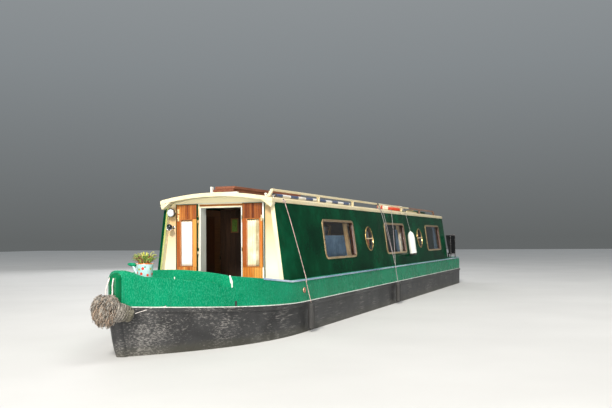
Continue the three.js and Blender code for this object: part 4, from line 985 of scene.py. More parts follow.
def counter():
    """The stern band: the side's section carried round the counter plan."""
    plan = counter_plan()
    n = len(plan)
    z, out = section_levels(np.full(n, COUNTER_Z), np.full(n, GUNWALE_Z - STRAKE_DROP),
                            np.full(n, GUNWALE_Z), rows=5)
    outer, inner = [], []
    inside = moved_in(plan, SIDE_WALL)
    for level, stand in zip(z, out):
        lean = full_breadth(level) / HALF_BEAM
        at = plan + (plan - moved_in(plan, 1.0)) * stand[:, None]
        outer.append(np.column_stack([at[:, 0], at[:, 1] * lean, level]))
        inner.append(np.column_stack([inside[:, 0], inside[:, 1] * lean,
                                      np.minimum(level, GUNWALE_Z - SHELF_STEEL)]))
    shelf = np.where(plan[:, :1] > CABIN_REAR_X - 0.005, moved_in(plan, HALF_BEAM - UNDER_CABIN_Y),
                     moved_in(plan, CAPPING))
    outer.append(np.column_stack([shelf, np.full(n, GUNWALE_Z)]))
    inner.append(np.column_stack([shelf, np.full(n, GUNWALE_Z - SHELF_STEEL)]))
    outer, inner = np.array(outer), np.array(inner)
    points, faces = shell(outer, inner)
    make("counter_skin", (points, faces), HULL_FINISHES, "hull_green", replaces="counter_band",
         which=row_finishes(points, faces, outer, 11), crease=32)


def deck_edge_z(aft):
    """The foredeck's edge falls evenly going aft."""
    return GUNWALE_Z - 0.015 + 0.1 * (FOREDECK_AFT - aft) / 0.85


def foredeck():
    """Foredeck plate, arched across and falling aft, with its T-stud."""
    aft = np.linspace(0.284, FOREDECK_AFT - 0.005, 22)
    x, y = side_point(aft, np.float64(GUNWALE_Z))
    v = np.linspace(1, -1, 17)
    top = np.stack([np.broadcast_to(x[:, None], (22, 17)), (y - CAPPING - 0.0005)[:, None] * v,
                    deck_edge_z(aft)[:, None] + DECK_CAMBER * (1 - v ** 2)], -1)
    plate = shell(top, top - [0, 0, 0.008])
    make("foredeck_plate", plate, HULL_GREEN, "hull_green", replaces="foredeck", crease=50)
    foot = deck_edge_z(0.3) + DECK_CAMBER - 0.004
    post_x = STEM_X - 0.3
    post = turned([(0.034, 0), (0.034, 0.006), (0.022, 0.012), (0.019, 0.02), (0.019, 0.070), (0.0, 0.070)],
                  (post_x, 0, foot))
    bar = turned([(0, 0), (0.009, 0.001), (0.013, 0.008), (0.013, 0.122), (0.009, 0.129), (0, 0.13)],
                 (post_x, -0.065, foot + 0.052), (0, 1, 0), 20)
    make("mooring_stud", joined(post, bar), HULL_GREEN, "hull_green", crease=40)


def foredeck_board():
    """The arched board behind the foredeck, with a pale edge strip up its port end."""
    board_x = STEM_X - FOREDECK_AFT
    levels = np.array([BASE_Z + SEAT, 0.3, 0.6, 0.85, 1.0, STEM_STRAIGHT_Z, GUNWALE_Z + 0.1])
    lip = float(breadth_at(board_x, GUNWALE_Z)) - CAPPING - 0.002
    side = np.column_stack([breadth_at(board_x, levels) - SIDE_WALL - 0.008, levels])
    v = np.linspace(1, 0, 13)
    crown = np.column_stack([lip * v, GUNWALE_Z + BOARD_CROWN - BOARD_CAMBER * v ** 2])
    port = np.concatenate([side, [[lip, GUNWALE_Z + 0.1]], crown])
    outline = np.concatenate([port, port[-2::-1] * [-1, 1]])
    make("bow_board", prism(outline, board_x - BOARD_THICK, board_x - 0.004), HULL_GREEN, "hull_green",
         replaces="foredeck_board", crease=30, bevel=0.004)
    top_y = float(breadth_at(board_x, GUNWALE_Z))
    outline = np.array([(top_y - 0.004, GUNWALE_Z - 0.014), (top_y + 0.009, GUNWALE_Z - 0.014),
                        (top_y + 0.008, GUNWALE_Z + 0.060), (top_y - 0.016, GUNWALE_Z + 0.122),
                        (top_y - 0.032, GUNWALE_Z + 0.122)])
    make_pair("board_edge_strip", prism(outline, board_x - 0.010, board_x + 0.002), WHITE, "white_paint",
              bevel=0.002)


def gunwale_reflection_bead():
    """A half-round along the gunwale's edge, from the well deck round the stern and back, painted pale blue: a
    painted reflection of the sky along the gunwale.
    """
    x = np.linspace(STEM_X - 1.62, STEM_X - BOW_LENGTH, 16)
    bow = np.column_stack([x, breadth_at(x, GUNWALE_Z)])
    rise = np.interp(STEM_X - x, SHEER[:, 0], SHEER[:, 1])
    run = np.array([(3.0, HALF_BEAM), (1.0, HALF_BEAM), (-1.0, HALF_BEAM), (-3.0, HALF_BEAM)])
    plan = np.concatenate([bow, run, counter_plan(), (run * [1, -1])[::-1], (bow * [1, -1])[::-1]])
    out = plan - moved_in(plan, 1.0)
    side = np.column_stack([out, np.zeros(len(out))])
    section = [(-0.010, -0.008), (0.0005, -0.018), (0.006, -0.016), (0.0085, -0.009), (0.0080, -0.002),
               (0.004, 0.004),
               (-0.002, 0.0065), (-0.012, 0.005)]
    level = np.full(len(plan), GUNWALE_Z)
    level[:16] += rise
    level[-16:] += rise[::-1]
    bead = swept(section, np.column_stack([plan, level]), side, (0, 0, 1))
    make("gunwale_reflection_bead", bead, GUNWALE_SKY_REFLECTION, "white_paint", crease=60)


for side, sign in SIDES.items():
    hull_side(side, sign)
stem()
counter()
foredeck()
foredeck_board()
gunwale_reflection_bead()
DRESSED = [
    (BLACKING, "base_plate", "counter_plate", "skeg", "swim_port", "swim_starboard", "rudder"),
    (HULL_GREEN, "well_deck_floor", "deck_lid", "stern_deck"),
    (CABIN_GREEN_SHADED, "cabin_side_port", "cabin_side_starboard", "rear_bulkhead"),
    (FLOORBOARDS, "cabin_floor"), (ENGINE_PAINT, "engine"), (BULKHEAD_CREAM_LIT_AND_SHADED, "front_bulkhead"),
           (BRONZE, "propeller")]
for finish, *nodes in DRESSED:
    for name in nodes:
        dress(name, finish)


# Cabin sides: windows, portholes and the curtains behind them

def on_wall(x, height, out=0.0, sign=1):
    """A place on the leaning cabin side, by its distance forward, its height, and how far it stands out."""
    x, height, out = np.broadcast_arrays(np.asarray(x, float), height, out)
    y = CABIN_FOOT_Y - (height - GUNWALE_Z) * CABIN_LEAN + out
    return np.stack([x, sign * y, height + out * CABIN_LEAN], -1)


PORTHOLE_STEPS = 56

# Section of a frame: how far out from the opening's edge, and how far out from the wall
FRAME_SECTION = [(-0.0003, 0.0003), (0.022, 0.0003), (0.025, 0.002), (0.025, 0.005), (0.021, 0.009),
                 (0.004, 0.010),
                 (0.001, 0.013), (-0.006, 0.013), (-0.010, 0.009), (-0.010, -0.060), (-0.0003, -0.060)]


# Section of a porthole's rim: slighter, with a dark liner behind
RIM_SECTION = [(-0.0003, 0.0003), (0.010, 0.0003), (0.013, 0.002), (0.013, 0.005), (0.010, 0.009),
               (0.003, 0.011),
               (-0.003, 0.010), (-0.005, 0.004), (-0.005, -0.058), (-0.0003, -0.058)]


def moulded_frame(loop_of, x, sign, section):
    """The section carried round the opening: one ring of points for each corner of the section."""
    rings = []
    for margin, out in section:
        loop = loop_of(margin)
        rings.append(on_wall(x + loop[:, 0], WINDOW_Z + loop[:, 1], out, sign))
    return grid(np.stack(rings), wrap_rows=True, wrap_columns=True)


def studs(places, out, radius=0.006, height=0.003, sides=8):
    """Low domes on a surface, one at each place; out is the surface's normal."""
    out = np.asarray(out, float) / np.linalg.norm(out)
    u, v = across_from(out)
    a = round_turn(sides)[:, None]
    ring = np.cos(a) * u + np.sin(a) * v
    levels = np.array([(1.0, -0.3), (1.0, 0.25), (0.72, 0.8), (0.25, 1.0)])
    body = levels[:, :1, None] * radius * ring + (levels[:, 1] * height)[:, None, None] * out
    shapes = [grid(body + np.asarray(place, float), wrap_columns=True) for place in places]
    return joined(*[(p, f + ends(sides, len(p))) for p, f in shapes])


def window_loop(margin):
    """The window's opening, grown by a margin."""
    return rounded_loop(WINDOW_W / 2 + margin, WINDOW_H / 2 + margin, WINDOW_CORNER + margin)


def porthole_loop(margin):
    """The porthole's opening, grown by a margin."""
    return circle_loop(PORTHOLE_R + margin, PORTHOLE_STEPS)


def window_set(index, x, side, sign):
    """A moulded trim with a dark liner, a row of screws along each edge, and the pane."""
    trim = moulded_frame(window_loop, x, sign, FRAME_SECTION)
    columns = len(window_loop(0.0))
    lining = np.isin(np.arange(len(trim[1])) // columns, (8, 9)).astype(int)
    make(f"window_{index}_trim_{side}", trim, [GOLD_FRAME, SHADED_BOARDS], "brass",
         replaces=f"window_{index}_frame_{side}", which=lining, crease=50)
    w, h = WINDOW_W / 2 + 0.013, WINDOW_H / 2 + 0.013
    along = np.linspace(-0.6, 0.6, 9)
    spots = [(u, s * h) for s in (1, -1) for u in along] + [(s * w, v) for s in (1, -1) for v in (-0.12, 0.12)]
    u, v = np.array(spots).T
    places = on_wall(x + u, WINDOW_Z + v, 0.009, sign)
    screws = studs(places, (0, sign, CABIN_LEAN))
    make(f"window_{index}_screws_{side}", screws, GOLD_FRAME, "brass", weld=False)
    dress(f"window_{index}_pane_{side}", GLASS)


def porthole_set(index, x, side, sign):
    """Brass rim with screws, a pane behind it, and a level bar across the pane."""
    rim = moulded_frame(porthole_loop, x, sign, RIM_SECTION)
    liner = np.isin(np.arange(len(rim[1])) // PORTHOLE_STEPS, (7, 8)).astype(int)
    make(f"porthole_{index}_rim_{side}", rim, [BRASS, BLACK], "brass", replaces=f"porthole_{index}_{side}",
         which=liner,
         crease=50)
    disc = circle_loop(PORTHOLE_R - 0.0055, PORTHOLE_STEPS)
    faces = [on_wall(x + disc[:, 0], WINDOW_Z + disc[:, 1], out, sign) for out in (-0.030, -0.025)]
    points, cells = grid(np.stack(faces), wrap_columns=True)
    cells += ends(PORTHOLE_STEPS, len(points))
    make(f"porthole_{index}_glass_{side}", (points, cells), GLASS, "window_glass")
    unit, order = boxes([(-0.188, 0.188, 0, 1, 0, 1)])
    bar = on_wall(x + unit[:, 0], WINDOW_Z + 0.004 + (unit[:, 2] - 0.5) * 0.016,
                  -0.0245 + unit[:, 1] * 0.016, sign)
    make(f"porthole_{index}_bar_{side}", (bar, order), CREAM, "cream", bevel=0.002)
    a, ring = round_turn(6) + 0.3, PORTHOLE_R + 0.0065
    places = on_wall(x + ring * np.cos(a), WINDOW_Z + ring * np.sin(a), 0.0095, sign)
    screws = studs(places, (0, sign, CABIN_LEAN), radius=0.0035, height=0.002)
    make(f"porthole_{index}_screws_{side}", screws, BRASS, "brass", weld=False)


def curtain(name, x0, x1, low, high, folds, finish, sign, out=-0.105, swing=0.014):
    """A gathered curtain: its depth is a sine across the width whose phase wanders, wider at the foot."""
    u = np.linspace(0, 1, folds * 12 + 1)[None]
    v = np.linspace(0, 1, 15)[:, None]
    wander = 0.9 * np.sin(5.1 * u + 2.0 * v + x0) + 0.5 * np.sin(11.3 * u + x1)
    wave = np.sin(2 * math.pi * folds * u + wander) + 0.3 * np.sin(4 * math.pi * folds * u + 1.3 * wander)
    depth = out + swing * wave * (1.0 - 0.45 * v)
    x = x0 + (x1 - x0) * (u + 0.012 * np.sin(2 * math.pi * folds * u) * (1 - v))
    points = on_wall(x, low + (high - low) * v, depth, sign)
    hang(name, points, finish)


def curtain_rail(name, x0, x1, height, sign):
    """A level round rail inside the wall."""
    run = on_wall(np.linspace(x0, x1, 5), height, -0.085, sign)
    make(name, tube(run, 0.006, 10), BRASS, "brass")


def window_curtains(side, sign):
    """Curtains by window: where each starts and ends from its middle, its foot and head, and its folds."""
    low, high = WINDOW_Z - 0.30, WINDOW_Z + 0.285
    table = [
        (0, -0.72, -0.50, low, high, 4, GOLD_CURTAIN),
             (0, -0.50, 0.70, low, WINDOW_Z + 0.07, 15, BLUE_CURTAIN),
        (1, -0.72, -0.56, low, high, 3, GOLD_CURTAIN), (1, -0.56, -0.42, low, high - 0.10, 3, BLUE_CURTAIN),
        (1, 0.52, 0.72, low, high, 4, GOLD_CURTAIN),
        (2, -0.72, -0.48, low, high, 4, BLUE_CURTAIN), (2, 0.48, 0.72, low, high, 4, BLUE_CURTAIN),
    ]
    for index, x in enumerate(WINDOW_X):
        curtain_rail(f"curtain_rail_{index + 1}_{side}", x - 0.76, x + 0.76, WINDOW_Z + 0.29, sign)
    for row, (index, start_at, end_at, foot, head, folds, finish) in enumerate(table):
        x = WINDOW_X[index]
        curtain(f"curtain_{row + 1}_{side}", x + start_at, x + end_at, foot, head, folds, finish, sign)
    for number, (x, finish) in enumerate(zip(PORTHOLE_X, (ORANGE_CURTAIN, BLUE_CURTAIN)), 1):
        rail = f"porthole_rail_{number}_{side}"
        curtain_rail(rail, x - 0.24, x + 0.24, WINDOW_Z + 0.01, sign)
        curtain(f"porthole_curtain_{number}_{side}", x - 0.22, x + 0.22, WINDOW_Z - 0.23, WINDOW_Z, 6,
                finish,
                sign, out=-0.09, swing=0.009)


for side, sign in SIDES.items():
    for number, x in enumerate(WINDOW_X, 1):
        window_set(number, x, side, sign)
    for number, x in enumerate(PORTHOLE_X, 1):
        porthole_set(number, x, side, sign)
    window_curtains(side, sign)


# Roof

def roof_z(y):
    """The roof's arch is a parabola, highest on the centreline."""
    return EAVE_Z + FASCIA + ROOF_CAMBER * (1 - (np.asarray(y) / ROOF_HALF) ** 2)


def arch(start_y, end_y, lift, steps=40):
    """The roof's arch as (y, z) points, lifted off it."""
    y = np.linspace(start_y, end_y, steps + 1)
    return np.column_stack([y, roof_z(y) + lift])


def roof_skin():
    """Roof plate: the arch turned down over the sides by a rounded corner; open behind for the hatch."""
    seat = ROOF_HALF - CABIN_WALL - 0.008
    a = np.linspace(0, math.pi / 2, 6)
    r = 0.016
    corner = np.column_stack([ROOF_HALF - r + r * np.cos(a), roof_z(ROOF_HALF) - r + r * np.sin(a)])
    foot = np.array([(ROOF_HALF - 0.006, EAVE_Z), (ROOF_HALF, EAVE_Z + 0.006)])
    port_edge = np.concatenate([foot, corner])
    crown = ROOF_HALF - r - 0.01
    whole = np.concatenate([port_edge, arch(crown, -crown, 0.0),
                            port_edge[::-1] * [-1, 1], [(-seat, EAVE_Z)], arch(-seat, seat, -ROOF_THICK),
                            [(seat, EAVE_Z)]])
    half = np.concatenate([port_edge, arch(crown, HATCH_HALF, 0.0, 20),
                           arch(HATCH_HALF, seat, -ROOF_THICK, 16), [(seat, EAVE_Z)]])
    front = prism(whole, HATCH_FRONT_X, CABIN_FRONT_X + ROOF_LIP)
    behind = prism(half, CABIN_REAR_X, HATCH_FRONT_X)
    near = HATCH_HALF + 0.005
    runner = np.array([(near, roof_z(near) - 0.006), (near + 0.015, roof_z(near + 0.015) - 0.006),
                       (near + 0.015, roof_z(near + 0.015) + HATCH_LIFT - 0.0004),
                       (near, roof_z(near) + HATCH_LIFT - 0.0004)])
    rail = prism(runner, CABIN_REAR_X + 0.005, CABIN_REAR_X + 1.76)
    make("roof_skin", joined(front, behind, other_side(behind), rail, other_side(rail)), CREAM, "cream",
         replaces="roof", crease=28, bevel=0.003)


def hatch_cover():
    """Sliding cover: an arched plate with turned-down edges and a front lip to pull it by."""
    half = HATCH_HALF + 0.042
    x0, x1 = CABIN_REAR_X - 0.035, HATCH_FRONT_X + 0.005
    top = np.concatenate([arch(half, -half, HATCH_LIFT + 0.020), arch(-half, half, HATCH_LIFT)])
    edge = np.array([(half - 0.012, roof_z(half - 0.012) + HATCH_LIFT + 0.004),
                     (half - 0.012, roof_z(half) + 0.008),
                     (half, roof_z(half) + 0.008), (half, roof_z(half) + HATCH_LIFT + 0.004)])
    drop = np.concatenate([[(HATCH_HALF, 2.344)], arch(HATCH_HALF, -HATCH_HALF, HATCH_LIFT + 0.003),
                           [(-HATCH_HALF, 2.344)]])
    flange = prism(edge, x0, x1)
    make("hatch_cover", joined(prism(top, x0, x1), flange, other_side(flange), prism(drop, x0, x0 + 0.01)),
         CABIN_GREEN_SHADED, "cabin_green", body="rear_hatch", replaces="rear_hatch", crease=28, bevel=0.003)
    grip = smooth_path([(x0 + 0.05, -0.07, roof_z(0) + HATCH_LIFT + 0.018), (x0 + 0.05, -0.065, 2.44),
                        (x0 + 0.05, 0.065, 2.44), (x0 + 0.05, 0.07, roof_z(0) + HATCH_LIFT + 0.018)], 6)
    make("hatch_grip", tube(grip, 0.007, 12), BRASS, "brass", body="rear_hatch")


RAIL_SHADE_X = -2.25


def handrails():
    """Each rail keeps its solid's shape with eased edges; aft of a cut behind the lifebuoy it is brown, a
    painted shade over the rail's rear half.
    """
    for side in SIDES:
        piece = recast(f"handrail_{side}", CREAM, bevel=0.006)
        work = bmesh.new()
        work.from_mesh(piece.data)
        bmesh.ops.bisect_plane(work, geom=work.verts[:] + work.edges[:] + work.faces[:],
                               plane_co=(RAIL_SHADE_X, 0, 0), plane_no=(1, 0, 0))
        work.to_mesh(piece.data)
        work.free()
        piece.data.materials.append(BROWN_TIMBER_AND_RAIL_SHADE)
        centres = np.empty(len(piece.data.polygons) * 3)
        piece.data.polygons.foreach_get("center", centres)
        piece.data.polygons.foreach_set("material_index", (centres[0::3] < RAIL_SHADE_X).astype(np.int32))


def roof_gear():
    """Plank rack, two planks, and two poles inside the port rail, each turned, with a dark ferrule."""
    recast("plank_rack", WHITE, bevel=0.004)
    rows = [(2.115, 4.5, -0.190, 0.110, 2.3803, 2.4170), (2.195, 4.49, -0.165, 0.125, 2.4172, 2.4540)]
    make("gangplank_boards", boxes(rows), ROOF_TIMBER, "roof_timber", replaces="gangplank", bevel=0.006,
         tones=box_tones(2), weld=False)
    for name, y, finish in (("pole_striped", 0.640, BANDED), ("pole_plain", 0.600, BROWN_TIMBER_AND_RAIL_SHADE)):
        r = 0.0205
        shape = turned([(0, 0), (r * 0.8, 0.001), (r, 0.006), (r, 3.064), (r * 0.8, 3.069), (0, 3.07)],
                       (1.315, y, float(roof_z(y)) + 0.0210), (1, 0, 0), 24)
        make(name, shape, finish, "roof_timber", replaces="boat_pole")
        cap = turned([(0, 0), (r + 0.002, 0.0), (r + 0.0025, 0.05), (r + 0.0015, 0.053), (0, 0.0535)],
                     (4.337, y, float(roof_z(y)) + 0.0235), (1, 0, 0), 24)
        make(name + "_ferrule", cap, BLACK, "black_paint")


def lifebuoy_ring():
    """A ring whose section is a flattened circle, with four pale bands and a looped line."""
    x, y = CABIN_FRONT_X - 6.7, 0.430
    slope = math.atan(2 * ROOF_CAMBER * y / ROOF_HALF ** 2)
    centre = np.array([x, y, float(roof_z(y)) + 0.052 / math.cos(slope) + 0.0003])
    u = np.array([1.0, 0, 0])
    v = np.array([0, math.cos(slope), -math.sin(slope)])
    w = np.cross(u, v)
    a = np.linspace(0, 2 * math.pi, 97)[:-1]
    b = round_turn(20)
    ring = np.cos(a)[:, None] * u + np.sin(a)[:, None] * v
    radius = 0.225 + 0.0515 * np.cos(b)
    body = centre + ring[:, None] * radius[None, :, None] + (0.0515 * np.sin(b))[None, :, None] * w
    points, faces = grid(body, wrap_rows=True, wrap_columns=True)
    turn = (np.repeat(a, 20) + 0.35) % (math.pi / 2)
    make("lifebuoy_body", (points, faces), [RED, WHITE], "lifebuoy_red", replaces="lifebuoy",
         which=(turn < 0.42).astype(int), crease=60)
    t = np.linspace(0, 2 * math.pi, 121)[:-1]
    bulge = 0.277 + 0.004 + 0.010 * np.abs(np.sin(2 * (t + 0.35 - 0.21)))
    line = centre + bulge[:, None] * (np.cos(t)[:, None] * u + np.sin(t)[:, None] * v) + 0.004 * w
    make("lifebuoy_line", tube(line, 0.004, 8, closed=True), ROPE, "rope")


roof_skin()
hatch_cover()
handrails()
roof_gear()
lifebuoy_ring()


# Doors and the doorway

def board_rows(x0, x1, y0, y1, z0, z1, count):
    """Upright boards side by side, as box rows with a hair gap between them."""
    edges = np.linspace(y0, y1, count + 1)
    return [(x0, x1, a + 0.0016, b - 0.0016, z0, z1) for a, b in zip(edges[:-1], edges[1:])]


def rippled(x, y0, y1, z0, z1, folds, swing):
    """A curtain across the boat: its depth is a sine of its width, deeper towards the foot."""
    u = np.linspace(0, 1, folds * 12 + 1)[None]
    v = np.linspace(0, 1, 17)[:, None]
    wander = 0.8 * np.sin(4.3 * u + 1.7 * v + y0)
    depth = x + swing * np.sin(2 * math.pi * folds * u + wander) * (1 - 0.35 * v)
    return np.stack([depth, np.broadcast_to(y0 + (y1 - y0) * u, depth.shape),
                     np.broadcast_to(z0 + (z1 - z0) * v, depth.shape)], -1)


# Sizes of a front leaf
LEAF = {"near": HINGE_Y + 0.010, "far": HINGE_Y + 0.318, "low": 0.985, "high": 2.218,
        "back": BULKHEAD_X + 0.0053, "face": BULKHEAD_X + 0.040, "stile": 0.066, "pane_low": 1.405,
        "pane_high": 2.012}


def front_door(side, sign, top_finish, stile_light_and_shade, curtain_finish, folds, swing):
    """Steel leaf lined with upright varnished boards above and below a curtained pane."""
    body = f"front_door_{side}"
    d = LEAF
    recast(body, CABIN_GREEN_SHADED, bevel=0.002)
    x0, x1 = d["face"] - 0.0005, d["face"] + 0.0035
    y0, y1 = d["near"] + 0.004, d["far"] - 0.004
    pane0, pane1 = d["near"] + d["stile"], d["far"] - d["stile"]
    top, foot = (d["pane_high"] + 0.010, d["high"] - 0.006), (d["low"] + 0.006, d["pane_low"] - 0.010)
    backing = boxes([(x0, x0 + 0.0012, y0, y1, *top), (x0, x0 + 0.0012, y0, y1, *foot)])
    make(body + "_grooves", on_side(backing, sign), VARNISH_DEEP, "varnished_wood", body=body)
    for label, (z0, z1), finish in (("top", top, top_finish), ("foot", foot, VARNISH_BRIGHT)):
        boards = board_rows(x0 + 0.001, x1, y0, y1, z0, z1, 9)
        make(f"{body}_{label}_boards", on_side(boxes(boards), sign), finish, "varnished_wood", body=body,
             bevel=0.0014,
             tones=box_tones(9, 1.6), weld=False)
    stile = (d["pane_low"] - 0.0092, d["pane_high"] + 0.0092)
    rows = [(x0, x1 + 0.0002, y0, pane0 - 0.008, *stile), (x0, x1 + 0.0002, pane1 + 0.008, y1, *stile)]
    make(body + "_stiles", on_side(boxes(rows), sign), VARNISH_BRIGHT, "varnished_wood", body=body,
         bevel=0.0012,
         tones=np.repeat(stile_light_and_shade, 8), weld=False)
    half_w, half_h = (pane1 - pane0) / 2, (d["pane_high"] - d["pane_low"]) / 2
    middle = np.array([0, (pane0 + pane1) / 2, (d["pane_low"] + d["pane_high"]) / 2])
    rings = []
    for grow, x in ((0.009, x0), (0.009, x1 + 0.001), (0.006, x1 + 0.0022), (0.001, x1 + 0.0022),
                    (-0.003, x1 - 0.001), (-0.003, d["back"]), (0.0, d["back"])):
        loop = rounded_loop(half_w + grow, half_h + grow, 0.006, 3)
        rings.append(middle + np.column_stack([np.full(len(loop), x), loop]))
    make(body + "_beading", on_side(grid(np.stack(rings), wrap_rows=True, wrap_columns=True), sign),
         VARNISH,
         "varnished_wood", body=body, crease=50)
    glass = boxes([(d["back"] + 0.004, d["back"] + 0.008, pane0 + 0.003, pane1 - 0.003,
                    d["pane_low"] + 0.003,
                    d["pane_high"] - 0.003)])
    make(body + "_glass", on_side(glass, sign), GLASS, "window_glass", body=body)
    rail = tube([(d["face"] - 0.012, pane0 + 0.003, d["pane_high"] - 0.018),
                 (d["face"] - 0.012, pane1 - 0.003, d["pane_high"] - 0.018)], 0.003, 8)
    make(body + "_rail", on_side(rail, sign), BRASS, "brass", body=body)
    points = rippled(d["face"] - 0.013, pane0 + 0.005, pane1 - 0.005, d["pane_low"] + 0.004,
                     d["pane_high"] - 0.014,
                     folds, swing)
    hang(body + "_curtain", points * [1, sign, 1], curtain_finish, body)
    # On the port leaf a tan sheet over the curtain's far part is a painted shadow on the pane.
    if sign > 0:
        points = rippled(d["face"] - 0.0045, pane0 + 0.125, pane1 - 0.005, d["pane_low"] + 0.006,
                         d["pane_high"] - 0.022, 3,
                         0.0022)
        hang(body + "_curtain_painted_shadow", points, TAN_CURTAIN_SHADOW, body)


def door_furniture():
    """Bolts by the free edges of both front leaves, hinge pin caps, and the port leaf's closing batten."""
    face, y = LEAF["face"] + 0.0035, 0.608
    for side, sign, bolts in (("starboard", -1, ((2.160, 0.065), (2.080, 0.085))),
                              ("port", 1, ((2.060, 0.080),))):
        shapes = []
        for top, length in bolts:
            foot = top - length
            keep = (face + 0.001, face + 0.012, y - 0.008, y + 0.008)
            shapes.append(boxes([(face, face + 0.002, y - 0.012, y + 0.012, foot, top),
                                 (*keep, top - 0.022, top - 0.008), (*keep, foot + 0.008, foot + 0.022)]))
            shapes.append(turned([(0, 0), (0.0045, 0.001), (0.005, 0.004), (0.005, length - 0.010),
                                  (0.0045, length - 0.007),
                                  (0, length - 0.006)], (face + 0.0065, y, foot + 0.003), steps=16))
            shapes.append(turned([(0.0035, 0), (0.0035, 0.008), (0.006, 0.011), (0.0065, 0.015),
                                  (0.004, 0.018),
                                  (0, 0.0185)], (face + 0.010, y, top - length / 2), (1, 0, 0), 16))
        make(f"front_door_{side}_bolts", on_side(joined(*shapes), sign), PALE_BRASS, "brass",
             body=f"front_door_{side}",
             bevel=0.0008)
    batten = boxes([(LEAF["face"], LEAF["face"] + 0.0037, LEAF["far"] - 0.021, LEAF["far"] - 0.0003,
                     LEAF["low"] + 0.022,
                     LEAF["high"] - 0.002)])
    make("front_door_port_batten", batten, WHITE, "white_paint", body="front_door_port", bevel=0.001)
    profile = [(0, 0), (0.0075, 0.001), (0.0082, 0.004), (0.0082, 0.010), (0.004, 0.014), (0, 0.015)]
    hooks = [turned(profile, (BULKHEAD_X + 0.0225, HINGE_Y, z), steps=14) for z in (1.195, 1.6415, 2.048)]
    for side, sign in SIDES.items():
        make(f"front_hinge_caps_{side}", on_side(joined(*hooks), sign), BRASS, "brass",
             body=f"front_door_{side}")


def doorway():
    """White lining in the doorway, pale and varnished strips over it, a drip strip, and corner beads."""
    half, back, face = DOORWAY_HALF, BULKHEAD_X - 0.140, BULKHEAD_X
    front = face + 0.0008
    lining = [(back - 0.004, front, half - 0.003, half + 0.0002, 1.0, 2.17),
              (back - 0.004, front, -half - 0.0002, -half + 0.003, 1.0, 2.17),
              (back - 0.004, front, -half, half, 2.167, 2.1702),
              (face - 0.001, front, half, half + 0.012, 0.985, 2.17),
              (face - 0.001, front, -half - 0.012, -half, 0.985, 2.17)]
    make("doorway_lining", boxes(lining), WHITE, "white_paint", weld=False)
    make("doorway_head_pale", boxes([(face - 0.001, front, -half - 0.012, half + 0.012, 2.1705, 2.186)]),
         CREAM, "cream")
    make("doorway_head_boards", boxes([(face - 0.001, front, -half - 0.012, half + 0.012, 2.1865, 2.212)]),
         VARNISH,
         "varnished_wood")
    sill = boxes([(back - 0.01, face - 0.001, -half, half, 0.988, 1.002)])
    make("doorway_sill", sill, BRASS, "brass", bevel=0.002)
    drip = swept([(0, 0), (0.014, -0.001), (0.014, 0.003), (0.002, 0.007), (0, 0.007)],
                 [(face - 0.0005, -0.665, 2.2225), (face - 0.0005, 0.665, 2.2225)], (1, 0, 0), (0, 0, 1))
    make("drip_strip", drip, WHITE, "white_paint", crease=30)
    # A dark green strip on the bulkhead beyond the starboard leaf's free edge: the leaf's green edge and a
    # painted shadow along it.
    make("door_edge_painted_shadow", boxes([(face, face + 0.0035, -0.672, -0.650, 0.985, 2.2215)]), CABIN_GREEN_SHADED,
         "cabin_green",
         bevel=0.001)
    # The starboard corner cover takes the shaded copy of the cream: painted shade.
    for side, sign, edge, finish in (("port", 1, -0.008, CORNER_CREAM),
                                     ("starboard", -1, -0.040, CORNER_CREAM_SHADED)):
        unit, cells = boxes([(CABIN_FRONT_X + 0.0002, CABIN_FRONT_X + 0.0035, 0, 1, GUNWALE_Z + 0.002,
                              EAVE_Z - 0.002)])
        cover = on_wall(unit[:, 0], unit[:, 2], edge + (-0.0632 - edge) * unit[:, 1], sign)
        make(f"corner_cover_{side}", (cover, cells), finish, "cream", bevel=0.001)
        unit, cells = boxes([(BULKHEAD_X + 0.0005, CABIN_FRONT_X + 0.0030, 0, 1, GUNWALE_Z + 0.002,
                              EAVE_Z - 0.002)])
        inner = on_wall(unit[:, 0], unit[:, 2], -0.0603 - 0.003 * unit[:, 1], sign)
        make(f"corner_lining_{side}", (inner, cells), CORNER_CREAM, "cream", bevel=0.001)
    outline = [(0.655, 2.2485), (0.700, 2.2432), (0.737, 2.233), (0.744, 2.2145), (0.8085, 2.2145),
               (0.8085, 2.196), (0.790, 2.150)]
    make_pair("roof_gusset", prism(outline, CABIN_FRONT_X + 0.001, CABIN_FRONT_X + 0.089), CREAM, "cream",
              bevel=0.003)


